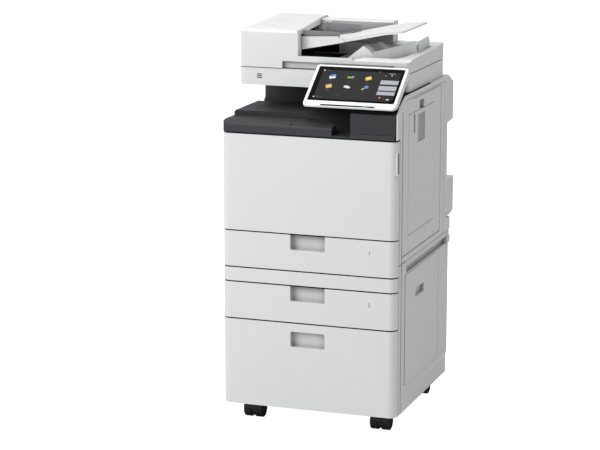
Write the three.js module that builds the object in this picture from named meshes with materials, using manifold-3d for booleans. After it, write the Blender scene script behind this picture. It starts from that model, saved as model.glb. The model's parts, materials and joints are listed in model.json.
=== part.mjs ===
// A floor-standing office photocopier: a cabinet on four twin-wheel casters with two paper
// cassettes and a storage drawer, the print engine behind a hinged front door, an exit tray
// below a flatbed reader, and a document feeder that is also the reader's lid.
//
// Millimetres, +Z up, +X to the operator's right, the operator stands at -Y. Inside this file
// heights are measured from the lower edge of the front panels and depths from their face.
// The exported group lifts and centres that frame, so the origin is on the floor, in the middle.

import * as THREE from 'three';
import { mergeVertices } from 'three/addons/utils/BufferGeometryUtils.js';
import Module from 'manifold-3d';

// ---------------------------------------------------------------- driving dimensions

const WIDTH = 511;                 // across the side covers
const FLOOR_GAP = 60;              // floor to the lower edge of the front panels
const CORNER = 22;                 // radius of the front vertical corners
const WALL = 3;                    // moulded covers
const SHEET = 4;                   // side covers
const RETURN = 22;                 // inward return along a side cover's front edge
const SEAM = 3.4;                  // open joint between neighbouring front panels
const CLEAR = 0.4;                 // between pieces that touch
const RUN = 1.2;                   // between a piece that moves and what it passes
const ARC = 3;                     // segments in a small rounded corner
const WIDE_ARC = 8;                // segments in a large rounded corner
const HALF = WIDTH / 2;

// Front panels, from the bottom up
const STORAGE_HEIGHT = 251;
const CASSETTE_HEIGHT = 107;
const STRIP_HEIGHT = 42;
const UPPER_CASSETTE_HEIGHT = 105;
const DOOR_HEIGHT = 276;
const PANEL_DEPTH = 26;

const STORAGE_TOP = STORAGE_HEIGHT;
const CASSETTE_TOP = STORAGE_TOP + CASSETTE_HEIGHT;
const STRIP_TOP = CASSETTE_TOP + STRIP_HEIGHT;
const UPPER_CASSETTE_TOP = STRIP_TOP + UPPER_CASSETTE_HEIGHT;
const DOOR_TOP = UPPER_CASSETTE_TOP + DOOR_HEIGHT;

// Finger pockets in the front panels, and the slot in the front door's right edge
const GRIP = { width: 101, height: 45, depth: 19, centre: -1.5, radius: 6, storageDrop: 25 };
const DOOR_SLOT = { front: 10, rear: 22, bottom: DOOR_TOP - 90, top: DOOR_TOP - 34, depth: 6 };

// Cabinet and engine: levels and depths of their covers
const SIDE_FRONT = 29.5;           // front edge of the side covers
const CABINET_REAR = 548;
const SKIRT_REAR = 518;
const SKIRT_TOP = 49;
const SKIRT_CHAMFER = 11;
const CABINET_TOP = STRIP_TOP + 31;
const ENGINE_REAR = 505;
const FOOT_REAR = CABINET_REAR - 3;
const ENGINE_FOOT_TOP = CABINET_TOP + 39;
const ENGINE_TOP = DOOR_TOP + 114;
const SIDE_GROOVE = [49, 56];      // upright groove behind the front column

// Rear housings
const LOWER_HOUSING = { rear: 600, bottom: ENGINE_FOOT_TOP + 1, height: 113, inset: 6 };
const UPPER_HOUSING = { rear: 588, bottom: ENGINE_TOP - 145, height: 145, inset: 6 };

// Exit tray and the stand of the operation panel
const LIP_TOP = DOOR_TOP + 33;
const LIP_DEPTH = 104;
const EXIT_FLOOR = LIP_TOP + 14;
const EXIT_BACK = 345;
const EXIT_FALL = { from: -40, to: 85, drop: 38 };
const STAND = { left: HALF - 134.5, right: HALF - 5.5, inner: HALF - 27.5, front: 2, step: 46 };
const STAND_BOTTOM = DOOR_TOP + 16;
const PAPER_EXIT = { front: 130, rear: 330, bottom: DOOR_TOP + 31, top: DOOR_TOP + 57 };

// Operation panel
const PANEL = { left: HALF - 269.5, width: 264, length: 164.3, thickness: 20, lip: 5, front: -10 };
const PANEL_BOTTOM = DOOR_TOP + 90;
const PANEL_TILT = 34.9;
const SCREEN = { side: 8, bottom: 21.5, top: 6, sink: 1.2 };
const STATUS = { left: 51, width: 155, height: 5.6, up: 2.6 };
const HINGE = { y: 116, z: ENGINE_TOP + 17, radius: 5, ears: [40, 190], earWidth: 12 };

// Reader
const READER = { left: -HALF, right: HALF - 11.5, front: 147, rear: 494, corner: 12 };
const READER_TOP = ENGINE_TOP + 49.5;
const PLATEN = { left: READER.left + 73, right: READER.right - 39, front: 180, rear: 462 };
const READING_STRIP = { left: PLATEN.left - 34, right: PLATEN.left - 14 };
const CARRIAGE = { left: PLATEN.left - 40, width: 32, height: 26, lift: 2 };
const RAIL = { front: 316, rear: 324, height: 8 };

// Document feeder. Its heights are measured from the reader's top, in its own group.
const FEEDER = { base: 2.2, front: 145, rear: 497, blockTop: 108.5, rise: 7, rimTop: 37.5 };
const BLOCK_RIGHT = READER.left + 168;
const FEEDER_CHAMFER = 7;
const BLOCK_EDGE = BLOCK_RIGHT + FEEDER_CHAMFER;
const COVER = { front: 161, rear: 480, thickness: 14, slant: 28 };
const COVER_BOTTOM = FEEDER.blockTop - COVER.thickness;
const DELIVERY_PEAK = BLOCK_EDGE + 177.5;
const RIM_LEDGE = 24;
const RIM_WIDE_FROM = BLOCK_EDGE + 159.5;
const DOCUMENT_SPAN = { front: 178, rear: 422 };
const GUIDES = { front: 181, rear: 380, length: 109, thickness: 2.4, top: 107.5, lift: 1 };
const REAR_WALL = { front: 431, rear: 479.4, length: 191, bottom: 45.5, top: 110.5 };
const BAY = { front: DOCUMENT_SPAN.front - 2, rear: REAR_WALL.front - 2, left: BLOCK_EDGE - 50 };
const STOPPER = { x: READER.right - 24, front: 311, rear: 426, base: 39.5, height: 36, thickness: 3 };
const STOPPER_BARREL = 3;
const PAD_MARGIN = 4;
const PAD_SINK = 2;
const PAD_LOW = 1.1;
const FEED_ROLLER = { x: BLOCK_EDGE - 25.5, z: 74.5, radius: 11, shaft: 3 };

// Right side: engine door with its bypass tray, and the cabinet's lower door
const DOOR_FACE = HALF - 0.6;
const DOOR_THICK = 20;
const SIDE_DOOR = { front: 58, rear: 433.5, bottom: CABINET_TOP + 19, top: ENGINE_TOP - 18 };
const SIDE_DOOR_NOSE = { level: ENGINE_TOP - 73, shoulder: 156 };
const BYPASS = { front: 112, rear: 370, bottom: CABINET_TOP + 69, top: ENGINE_TOP - 57, thick: 9 };
const BYPASS_BAY = DOOR_FACE - BYPASS.thick - CLEAR;
const SIDE_GRIP = { front: 99, rear: 518, bottom: CABINET_TOP - 39, height: 22, depth: 16 };
const SIDE_RECESS = { front: 96, bottom: 60, top: SIDE_GRIP.bottom, depth: 5, slope: 12 };
const LOWER_DOOR = { front: 104, rear: 418, bottom: 71, top: SIDE_GRIP.bottom - 4.5, thick: 12 };
const LOWER_DOOR_GRIP = { front: 204, rear: 287, top: LOWER_DOOR.top - 59.5, height: 26 };

// Cassettes and storage drawer
const TRAY_WALL = 2.5;
const TRAY_HALF_WIDTH = HALF - 40.5;
const TRAY_REAR = 470;
const CASSETTE_TRAY_DROP = 41;     // how much lower a cassette is than its front panel
const STORAGE_TRAY_DROP = 51;
const TRAY_LIFT = 12;
const LIFT_PLATE = { left: -110, front: 60, rear: 330, thickness: 2, barrel: 2.5 };

// Casters
const CASTER = { x: HALF - 65.5, front: 72, rear: 455, trail: 17, pad: 29 };
const WHEEL = { radius: 25, width: 20, inner: 8, segments: 20 };
const AXLE_RADIUS = 4;

// Engine internals
const BOTTLE = { radius: 29, length: 330, spacing: 18, height: DOOR_TOP - 65, cap: 6 };
const FAN = { x: -150, height: DOOR_TOP - 121, radius: 38, slot: 6 };
const POWER_SWITCH = { x: HALF - 55.5, width: 22, height: 16, level: DOOR_TOP - 33 };
const INLET = { x: -185, width: 41, height: 27, level: CABINET_TOP + 19 };
const DEPTH_CENTRE = (LOWER_HOUSING.rear + PANEL.front) / 2;

// ---------------------------------------------------------------- finishes

const FINISH = {
  white: { color: 0xe9eae9, roughness: 0.5, metalness: 0 },
  cover: { color: 0xdfe0df, roughness: 0.55, metalness: 0 },
  side: { color: 0xd2d3d3, roughness: 0.55, metalness: 0 },
  black: { color: 0x2c2c2e, roughness: 0.5, metalness: 0 },
  bezel: { color: 0xf4f5f5, roughness: 0.35, metalness: 0 },
  screen: { color: 0x0c0c0e, roughness: 0.12, metalness: 0 },
  glass: { color: 0xb9c4c6, roughness: 0.08, metalness: 0 },
  rubber: { color: 0x1d1d1f, roughness: 0.8, metalness: 0 },
  steel: { color: 0xa9abad, roughness: 0.4, metalness: 1 },
  tray: { color: 0x8f9193, roughness: 0.6, metalness: 0 },
  toner: { color: 0x3a3b3d, roughness: 0.45, metalness: 0 },
  orange: { color: 0xb98a3c, roughness: 0.5, metalness: 0 },
};

// ---------------------------------------------------------------- solid modelling helpers

const library = await Module();
library.setup();

/** A closed three.js geometry as a solid that can be joined and cut. */
function solidOf(geometry) {
  const bare = geometry.clone();
  bare.deleteAttribute('normal');
  bare.deleteAttribute('uv');
  const merged = mergeVertices(bare, 1e-4);
  const index = merged.index.array;
  const kept = [];
  for (let i = 0; i < index.length; i += 3) {
    const [a, b, c] = [index[i], index[i + 1], index[i + 2]];
    if (a !== b && b !== c && c !== a) kept.push(a, b, c);
  }
  return new library.Manifold(new library.Mesh({
    numProp: 3,
    vertProperties: new Float32Array(merged.attributes.position.array),
    triVerts: new Uint32Array(kept),
  }));
}

/** The solid's surface as a three.js geometry. */
function geometryOf(solid) {
  const surface = solid.getMesh();
  const geometry = new THREE.BufferGeometry();
  geometry.setAttribute('position', new THREE.BufferAttribute(surface.vertProperties, 3));
  geometry.setIndex(new THREE.BufferAttribute(surface.triVerts, 1));
  const faceted = geometry.toNonIndexed();
  faceted.computeVertexNormals();
  return faceted;
}

/** Several solids joined into one. */
function join(...solids) {
  return solids.reduce((whole, piece) => whole.add(piece));
}

/** A block between two corners. */
function box([x0, x1], [y0, y1], [z0, z1]) {
  const geometry = new THREE.BoxGeometry(x1 - x0, y1 - y0, z1 - z0);
  geometry.translate((x0 + x1) / 2, (y0 + y1) / 2, (z0 + z1) / 2);
  return solidOf(geometry);
}

/** A closed outline through [a, b, radius] corners; a corner with a radius is rounded. */
function outline(corners) {
  const shape = new THREE.Shape();
  const count = corners.length;
  corners.forEach(([x, y, radius = 0], i) => {
    const corner = new THREE.Vector2(x, y);
    const before = new THREE.Vector2(...corners[(i + count - 1) % count].slice(0, 2)).sub(corner);
    const after = new THREE.Vector2(...corners[(i + 1) % count].slice(0, 2)).sub(corner);
    const half = Math.abs(before.angleTo(after)) / 2;
    const reach = radius / Math.tan(half);
    const enter = corner.clone().addScaledVector(before.normalize(), reach);
    if (i === 0) shape.moveTo(enter.x, enter.y);
    else shape.lineTo(enter.x, enter.y);
    if (!radius) return;
    const leave = corner.clone().addScaledVector(after.normalize(), reach);
    const toCentre = before.clone().add(after).normalize();
    const centre = corner.clone().addScaledVector(toCentre, radius / Math.sin(half));
    const start = Math.atan2(enter.y - centre.y, enter.x - centre.x);
    const end = Math.atan2(leave.y - centre.y, leave.x - centre.x);
    shape.absarc(centre.x, centre.y, radius, start, end, before.cross(after) > 0);
  });
  return shape;
}

/** A rectangle's corners, all with the same radius or with one radius each. */
function rectangle([a0, a1], [b0, b1], radius = 0) {
  const [r0, r1, r2, r3] = Array.isArray(radius) ? radius : [radius, radius, radius, radius];
  return [[a0, b0, r0], [a1, b0, r1], [a1, b1, r2], [a0, b1, r3]];
}

const EXTRUDE_FRAMES = {
  x: new THREE.Matrix4().makeBasis(
    new THREE.Vector3(0, 1, 0), new THREE.Vector3(0, 0, 1), new THREE.Vector3(1, 0, 0)),
  y: new THREE.Matrix4().makeBasis(
    new THREE.Vector3(1, 0, 0), new THREE.Vector3(0, 0, 1), new THREE.Vector3(0, -1, 0)),
  z: new THREE.Matrix4(),
};

/** An outline pushed along one axis: (y, z) corners along x, (x, z) along y, (x, y) along z. */
function prism(axis, corners, [from, to], segments = ARC) {
  const geometry = new THREE.ExtrudeGeometry(outline(corners), {
    depth: to - from,
    bevelEnabled: false,
    curveSegments: segments,
  });
  geometry.translate(0, 0, axis === 'y' ? -to : from);
  geometry.applyMatrix4(EXTRUDE_FRAMES[axis]);
  return solidOf(geometry);
}

/** A cylinder along an axis through a centre point. */
function cylinder(axis, radius, [from, to], [a, b], segments = 16) {
  const geometry = new THREE.CylinderGeometry(radius, radius, to - from, segments);
  geometry.rotateY(Math.PI / segments);
  geometry.translate(0, (from + to) / 2, 0);
  if (axis === 'x') geometry.rotateZ(-Math.PI / 2).translate(0, a, b);
  if (axis === 'y') geometry.translate(a, 0, b);
  if (axis === 'z') geometry.rotateX(Math.PI / 2).translate(a, b, 0);
  return solidOf(geometry);
}

/** A named mesh with its own material. */
function piece(name, solid, finish) {
  const mesh = new THREE.Mesh(geometryOf(solid), new THREE.MeshStandardMaterial(FINISH[finish]));
  mesh.name = name;
  return mesh;
}

/** A group of pieces at a place in its parent. */
function assembly(position, ...members) {
  const group = new THREE.Group();
  group.position.set(...position);
  group.add(...members);
  return group;
}

// ---------------------------------------------------------------- front panels

/** Plan outline of a full-width front panel, pulled in by an inset. */
function frontPlan(inset, rear) {
  const side = HALF - inset;
  const radius = CORNER - inset;
  return [[-side, inset, radius], [side, inset, radius], [side, rear], [-side, rear]];
}

/** A front panel: a shallow moulded box that is open at its back. */
function frontPanel(bottom, top) {
  const low = bottom + SEAM / 2;
  const high = top - SEAM / 2;
  const outside = prism('z', frontPlan(0, PANEL_DEPTH), [low, high], WIDE_ARC);
  const inside = prism('z', frontPlan(WALL, PANEL_DEPTH + 1), [low + WALL, high - WALL]);
  return outside.subtract(inside);
}

/** A front panel with a finger pocket whose top is at a height. */
function drawerFront(bottom, top, pocketTop) {
  const { width, height, depth, centre, radius } = GRIP;
  const across = [centre - width / 2, centre + width / 2];
  const open = pocketTop >= top;
  const rise = open ? top + 1 : pocketTop;
  const ceiling = open ? top - SEAM / 2 : pocketTop + WALL;
  const upper = open ? 0 : radius;
  const corners = rectangle(across, [pocketTop - height, rise], [radius, radius, upper, upper]);
  const wallAcross = [across[0] - WALL, across[1] + WALL];
  const lining = box(wallAcross, [WALL / 2, depth + WALL], [pocketTop - height - WALL, ceiling]);
  const pocket = prism('y', corners, [-1, depth]);
  return frontPanel(bottom, top).add(lining).subtract(pocket);
}

/** An open tray that hangs behind a drawer front. */
function openTray(bottom, height) {
  const floor = bottom + TRAY_LIFT;
  const front = PANEL_DEPTH + CLEAR;
  const across = [-TRAY_HALF_WIDTH, TRAY_HALF_WIDTH];
  const outside = box(across, [front, TRAY_REAR], [floor, floor + height]);
  const inside = box([across[0] + TRAY_WALL, across[1] - TRAY_WALL],
    [front + TRAY_WALL, TRAY_REAR - TRAY_WALL], [floor + TRAY_WALL, floor + height + 1]);
  return outside.subtract(inside);
}

/** The plate that lifts the paper towards the pick-up roller, hinged on its left edge. */
function liftPlate(bottom) {
  const { left, front, rear, thickness, barrel } = LIFT_PLATE;
  const level = bottom + TRAY_LIFT + TRAY_WALL + RUN;
  const plate = box([left, TRAY_HALF_WIDTH - TRAY_WALL - 6], [front, rear],
    [level, level + thickness]);
  const notch = box([40, 140], [rear - 30, rear + 1], [level - 1, level + thickness + 1]);
  const hinge = cylinder('y', barrel, [front + 4, rear - 4], [left, level + 1.4], 10);
  return plate.subtract(notch).add(hinge);
}

function drawers() {
  const closed = STORAGE_TOP - GRIP.storageDrop;
  const cassette = CASSETTE_HEIGHT - CASSETTE_TRAY_DROP;
  const upper = UPPER_CASSETTE_HEIGHT - CASSETTE_TRAY_DROP;
  return [
    piece('storage_drawer_front', drawerFront(0, STORAGE_TOP, closed), 'white'),
    piece('storage_drawer_tray', openTray(0, STORAGE_HEIGHT - STORAGE_TRAY_DROP), 'tray'),
    piece('drawer_2_front', drawerFront(STORAGE_TOP, CASSETTE_TOP, CASSETTE_TOP), 'white'),
    piece('drawer_2_tray', openTray(STORAGE_TOP, cassette), 'tray'),
    piece('drawer_2_lift_plate', liftPlate(STORAGE_TOP), 'steel'),
    piece('drawer_1_front', drawerFront(STRIP_TOP, UPPER_CASSETTE_TOP, UPPER_CASSETTE_TOP),
      'white'),
    piece('drawer_1_tray', openTray(STRIP_TOP, upper), 'tray'),
    piece('drawer_1_lift_plate', liftPlate(STRIP_TOP), 'steel'),
  ];
}

// ---------------------------------------------------------------- cabinet

/** Side view of the cabinet's side covers. */
const CABINET_PROFILE = [
  [SIDE_FRONT, 0], [SKIRT_REAR, 0], [SKIRT_REAR, SKIRT_TOP],
  [CABINET_REAR, SKIRT_TOP + SKIRT_CHAMFER], [CABINET_REAR, CABINET_TOP - SEAM / 2],
  [SIDE_FRONT, CABINET_TOP - SEAM / 2],
];

/** The inward return along a side cover's front edge. */
function frontReturn(side, [low, high]) {
  const across = side > 0 ? [HALF - RETURN, HALF - 1] : [1 - HALF, RETURN - HALF];
  return box(across, [SIDE_FRONT, SIDE_FRONT + WALL], [low, high]);
}

function cabinetRightCover() {
  const { depth, slope } = SIDE_RECESS;
  const thick = SHEET + depth;
  const face = HALF - depth;
  const levels = [SIDE_RECESS.bottom, SIDE_RECESS.top];
  const span = [SIDE_RECESS.front, CABINET_REAR + 1];
  const recess = box([face, HALF + 1], span, levels);
  const flare = prism('y', [[face, levels[0]], [HALF + 0.1, levels[0] - slope],
    [HALF + 0.1, levels[0] + 1], [face, levels[0] + 1]], span);
  const cheek = prism('z', [[face, span[0] + 1], [face, span[0]],
    [HALF + 0.1, span[0] - slope], [HALF + 0.1, span[0] + 1]], levels);
  const groove = box([HALF - 3, HALF + 1], SIDE_GROOVE, [-1, CABINET_TOP]);
  const seam = box([face - 2, HALF + 1], [446, 448.5], [SKIRT_TOP + 20, SIDE_RECESS.top]);
  const { front, rear, bottom, top } = LOWER_DOOR;
  const doorway = box([HALF - RETURN - 8, HALF + 1], [front - RUN, rear + RUN],
    [bottom - 1.6, top + CLEAR]);
  const pocket = [SIDE_GRIP.bottom, SIDE_GRIP.bottom + SIDE_GRIP.height];
  const along = [SIDE_GRIP.front, SIDE_GRIP.rear];
  const lining = box([HALF - SIDE_GRIP.depth - WALL, HALF - 1], [along[0] - WALL, along[1] + WALL],
    [pocket[0] - WALL, pocket[1] + WALL]);
  const grip = box([HALF - SIDE_GRIP.depth, HALF + 1], along, pocket);
  const ledge = box([HALF - 3, HALF + 1], [SIDE_RECESS.front, CABINET_REAR + 1],
    [pocket[1], CABINET_TOP]);
  return prism('x', CABINET_PROFILE, [HALF - thick, HALF])
    .add(frontReturn(1, [0, CABINET_TOP - SEAM / 2]))
    .add(lining)
    .subtract(join(recess, flare, cheek, groove, seam, grip, ledge))
    .subtract(doorway);
}

function cabinetLeftCover() {
  const groove = box([-HALF - 1, 3 - HALF], SIDE_GROOVE, [-1, CABINET_TOP]);
  return prism('x', CABINET_PROFILE, [-HALF, SHEET + SIDE_RECESS.depth - HALF])
    .add(frontReturn(-1, [0, CABINET_TOP - SEAM / 2]))
    .subtract(groove);
}

function lowerRightDoor() {
  const { front, rear, bottom, top, thick } = LOWER_DOOR;
  const face = HALF - SIDE_RECESS.depth + 1.5;
  const outside = prism('x', rectangle([front, rear], [bottom, top], 3), [face - thick, face]);
  const inside = box([face - thick - 1, face - WALL], [front + WALL, rear - WALL],
    [bottom + WALL, top - WALL]);
  const grip = LOWER_DOOR_GRIP;
  const levels = [grip.top - grip.height, grip.top];
  const lining = box([face - thick, face - 1], [grip.front - 2, grip.rear + 2],
    [levels[0] - 2, levels[1] + 2]);
  const pocket = prism('x', rectangle([grip.front, grip.rear], levels, 4),
    [face - thick + 2, face + 1]);
  return outside.subtract(inside).add(lining).subtract(pocket);
}

function cabinetRearCover() {
  const inner = HALF - SHEET - SIDE_RECESS.depth - CLEAR;
  const profile = [
    [SKIRT_REAR, 2], [SKIRT_REAR, SKIRT_TOP], [CABINET_REAR, SKIRT_TOP + SKIRT_CHAMFER],
    [CABINET_REAR, CABINET_TOP - SEAM / 2], [CABINET_REAR - WALL, CABINET_TOP - SEAM / 2],
    [CABINET_REAR - WALL, SKIRT_TOP + SKIRT_CHAMFER + 2], [SKIRT_REAR - WALL, SKIRT_TOP + 2],
    [SKIRT_REAR - WALL, 2],
  ];
  return prism('x', profile, [-inner, inner]);
}

/** The cabinet's base: a plate with a pad over each caster. */
function basePlate() {
  const side = HALF - RETURN - CLEAR;
  const plate = box([-side, side], [SIDE_FRONT + WALL + CLEAR, SKIRT_REAR - WALL - CLEAR], [2, 6]);
  const pads = casterPlaces().map(({ x, y }) => (
    box([x - CASTER.pad, x + CASTER.pad], [y - CASTER.pad, y + CASTER.pad], [-1, 3])));
  return join(plate, ...pads);
}

/** The deck between the cabinet and the print engine. */
function deckPlate() {
  const side = HALF - SHEET - SIDE_RECESS.depth - CLEAR;
  const edge = HALF - SIDE_GRIP.depth - WALL - CLEAR;
  const deck = box([-side, edge], [SIDE_FRONT + WALL + CLEAR, CABINET_REAR - WALL - CLEAR],
    [STRIP_TOP - 2, STRIP_TOP + 1.5]);
  const notch = [HALF - RETURN - CLEAR, HALF];
  const corner = box(notch, [SIDE_FRONT, SIDE_FRONT + 5], [STRIP_TOP - 3, STRIP_TOP + 3]);
  const cornerLeft = box([-notch[1], -notch[0]], [SIDE_FRONT, SIDE_FRONT + 5],
    [STRIP_TOP - 3, STRIP_TOP + 3]);
  return deck.subtract(join(corner, cornerLeft));
}

// ---------------------------------------------------------------- casters

function casterPlaces() {
  return [
    { tag: 'front_left', x: -CASTER.x, y: CASTER.front },
    { tag: 'front_right', x: CASTER.x, y: CASTER.front },
    { tag: 'rear_left', x: -CASTER.x, y: CASTER.rear },
    { tag: 'rear_right', x: CASTER.x, y: CASTER.rear },
  ];
}

/** The swivelling hood, with its stem on the group's origin and the axle behind it. */
function casterHood() {
  const axle = [CASTER.trail, WHEEL.radius - FLOOR_GAP];
  const side = WHEEL.inner - 1;
  const over = WHEEL.radius + 2.5;
  const reach = WHEEL.inner + WHEEL.width - 2;
  const crown = cylinder('x', over + 2, [-reach, reach], axle, 20);
  const hollow = cylinder('x', over, [side, reach + 1], axle, 20);
  const otherHollow = cylinder('x', over, [-reach - 1, -side], axle, 20);
  const lowerHalf = box([-40, 40], [-20, 60], [-FLOOR_GAP - 10, axle[1] + 6]);
  const web = cylinder('x', WHEEL.radius - 4, [-side, side], axle, 16);
  const stem = cylinder('z', side - 0.5, [axle[1], -2], [0, 0], 12);
  const bore = cylinder('x', AXLE_RADIUS + 0.5, [-side - 1, side + 1], axle, 16);
  const flatTop = box([-40, 40], [-20, 60], [-4.5, 10]);
  return crown.subtract(join(hollow, otherHollow, lowerHalf, flatTop))
    .add(web).add(stem).subtract(bore);
}

/** Two wheels on one axle, with a flat facet on the floor. */
function casterWheels() {
  const axle = [CASTER.trail, WHEEL.radius - FLOOR_GAP];
  const { inner, width, segments } = WHEEL;
  const radius = WHEEL.radius / Math.cos(Math.PI / segments);
  const section = [
    new THREE.Vector2(0, 0), new THREE.Vector2(radius, 0),
    new THREE.Vector2(radius, width - 4), new THREE.Vector2(radius - 4, width),
    new THREE.Vector2(radius - 11, width), new THREE.Vector2(radius - 11, width - 2.5),
    new THREE.Vector2(0, width - 2.5),
  ];
  const turned = new THREE.LatheGeometry(section, segments);
  turned.rotateY(Math.PI / segments);
  const right = turned.clone().rotateZ(-Math.PI / 2).translate(inner, ...axle);
  const left = turned.clone().rotateZ(Math.PI / 2).translate(-inner, ...axle);
  const pin = cylinder('x', AXLE_RADIUS, [-inner - 1, inner + 1], axle, 16);
  return join(solidOf(right), solidOf(left), pin);
}

function casters() {
  return casterPlaces().map(({ tag, x, y }) => assembly([x, y, 0],
    piece(`caster_hood_${tag}`, casterHood(), 'black'),
    piece(`caster_wheels_${tag}`, casterWheels(), 'rubber')));
}

// ---------------------------------------------------------------- print engine covers

function mainRightCover() {
  const low = CABINET_TOP + SEAM / 2;
  const profile = [
    [SIDE_FRONT, low], [FOOT_REAR, low], [FOOT_REAR, ENGINE_FOOT_TOP],
    [ENGINE_REAR, ENGINE_FOOT_TOP], [ENGINE_REAR, ENGINE_TOP], [78.5, ENGINE_TOP],
    [32, ENGINE_TOP - 22], [4, ENGINE_TOP - 43, 8], [4, DOOR_TOP + 4], [SIDE_FRONT, DOOR_TOP + 4],
  ];
  const doorway = prism('x', sideDoorProfile(-1.8), [HALF - SHEET - 1, HALF + 1]);
  const groove = box([HALF - 2.4, HALF + 1], SIDE_GROOVE, [low - 1, ENGINE_TOP - 40]);
  const topLine = box([HALF - 1.6, HALF + 1], [86, ENGINE_REAR - 30],
    [ENGINE_TOP - 13, ENGINE_TOP - 11]);
  const rearLine = box([HALF - 1.6, HALF + 1], [470, 472], [low - 1, ENGINE_TOP - 13]);
  return prism('x', profile, [HALF - SHEET, HALF])
    .add(frontReturn(1, [low, DOOR_TOP - 2]))
    .subtract(join(doorway, groove, topLine, rearLine));
}

function mainLeftCover() {
  const low = CABINET_TOP + SEAM / 2;
  const rim = DOOR_TOP + 1;
  const profile = [
    [SIDE_FRONT, low], [FOOT_REAR, low], [FOOT_REAR, ENGINE_FOOT_TOP],
    [ENGINE_REAR, ENGINE_FOOT_TOP], [ENGINE_REAR, ENGINE_TOP], [EXIT_BACK + 5, ENGINE_TOP],
    [EXIT_BACK + 5, rim], [SIDE_FRONT, rim],
  ];
  const groove = box([-HALF - 1, 2.4 - HALF], SIDE_GROOVE, [low - 1, rim + 1]);
  return prism('x', profile, [-HALF, SHEET - HALF])
    .add(frontReturn(-1, [low, DOOR_TOP - 2]))
    .subtract(groove);
}

/** The bent sheet that closes the engine's top and back, with slots behind the fan. */
function mainRearCover() {
  const side = HALF - SHEET - CLEAR;
  const low = CABINET_TOP + SEAM / 2;
  const [inner, top] = [ENGINE_REAR - WALL, ENGINE_TOP - WALL];
  const foot = FOOT_REAR;
  const profile = [
    [EXIT_BACK + 6, ENGINE_TOP], [EXIT_BACK + 6, top], [inner, top],
    [inner, ENGINE_FOOT_TOP - WALL], [foot - WALL, ENGINE_FOOT_TOP - WALL], [foot - WALL, low],
    [foot, low], [foot, ENGINE_FOOT_TOP], [ENGINE_REAR, ENGINE_FOOT_TOP], [ENGINE_REAR, ENGINE_TOP],
  ].reverse();
  const slots = [];
  const reach = FAN.radius - 4;
  for (let level = FAN.slot - reach; level < reach; level += 2 * FAN.slot) {
    slots.push(box([FAN.x - reach, FAN.x + reach], [inner - 1, ENGINE_REAR + 1],
      [FAN.height + level - FAN.slot / 2, FAN.height + level + FAN.slot / 2]));
  }
  const inletHole = box(inletSpan(CLEAR), [foot - WALL - 1, foot + 1], inletLevels(CLEAR));
  return prism('x', profile, [-side, side]).subtract(join(inletHole, ...slots));
}

/** A hollow housing on the back, open towards the machine. */
function rearHousing(profile, insideProfile, inset) {
  const side = HALF - inset;
  return prism('x', profile, [-side, side])
    .subtract(prism('x', insideProfile, [WALL - side, side - WALL]));
}

function rearLowerCover() {
  const { rear, bottom, height, inset } = LOWER_HOUSING;
  const top = bottom + height;
  const front = ENGINE_REAR + CLEAR;
  const profile = [[front, bottom + CLEAR], [rear - 34, bottom + CLEAR], [rear, bottom + 8, 4],
    [rear, top, 4], [front, top]];
  const inside = [[front - 1, bottom + WALL], [rear - 36, bottom + WALL], [rear - WALL, bottom + 11],
    [rear - WALL, top - WALL], [front - 1, top - WALL]];
  return rearHousing(profile, inside, inset);
}

function rearUpperCover() {
  const { rear, bottom, height, inset } = UPPER_HOUSING;
  const top = bottom + height;
  const front = ENGINE_REAR + CLEAR;
  const profile = [[front, bottom], [rear, bottom + 6, 4], [rear, top - 27, 6], [rear - 14, top - 21],
    [rear - 56, top, 6], [front, top]];
  const inside = [[front - 1, bottom + WALL], [rear - WALL, bottom + 6 + WALL],
    [rear - WALL, top - 30], [rear - 15, top - 24], [rear - 57, top - WALL], [front - 1, top - WALL]];
  return rearHousing(profile, inside, inset);
}

/** The mains inlet's width and height spans, grown by a margin. */
function inletSpan(margin) {
  return [INLET.x - INLET.width / 2 - margin, INLET.x + INLET.width / 2 + margin];
}

function inletLevels(margin) {
  return [INLET.level - INLET.height / 2 - margin, INLET.level + INLET.height / 2 + margin];
}

function acInlet() {
  const shell = box(inletSpan(0), [FOOT_REAR - 22, FOOT_REAR + 1.5], inletLevels(0));
  const socket = prism('y', rectangle(inletSpan(-5.5), inletLevels(-3.5), 4),
    [FOOT_REAR - 16, FOOT_REAR + 2]);
  const blades = [-6, 0, 6].map((offset) => {
    const x = INLET.x + offset;
    const level = INLET.level + (offset === 0 ? 4 : -1);
    return box([x - 1, x + 1], [FOOT_REAR - 18, FOOT_REAR - 5], [level - 3, level + 3]);
  });
  return join(shell.subtract(socket), ...blades);
}

// ---------------------------------------------------------------- doors of the engine

function frontDoor() {
  const { front, rear, bottom, top, depth } = DOOR_SLOT;
  const slot = box([HALF - depth, HALF + 1], [front, rear], [bottom, top]);
  const cup = box([HALF - depth - WALL, HALF - 1], [front - WALL, rear + WALL],
    [bottom - WALL, top + WALL]);
  return frontPanel(UPPER_CASSETTE_TOP, DOOR_TOP).add(cup).subtract(slot);
}

/** The plate behind the front door, with a hole for each toner bottle. */
function innerFrontPanel() {
  const side = HALF - RETURN - CLEAR;
  const plate = box([-side, side], [SIDE_FRONT + 1, SIDE_FRONT + 4],
    [UPPER_CASSETTE_TOP + 3, DOOR_TOP - 3]);
  const holes = bottlePlaces().map((bottle) => (
    cylinder('y', BOTTLE.radius + 2, [20, 50], [bottle, BOTTLE.height], 24)));
  const { x, width, height, level } = POWER_SWITCH;
  const switchHole = box([x - width / 2 - 1, x + width / 2 + 1], [20, 50],
    [level - height / 2 - 1, level + height / 2 + 1]);
  return plate.subtract(join(switchHole, ...holes));
}

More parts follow.
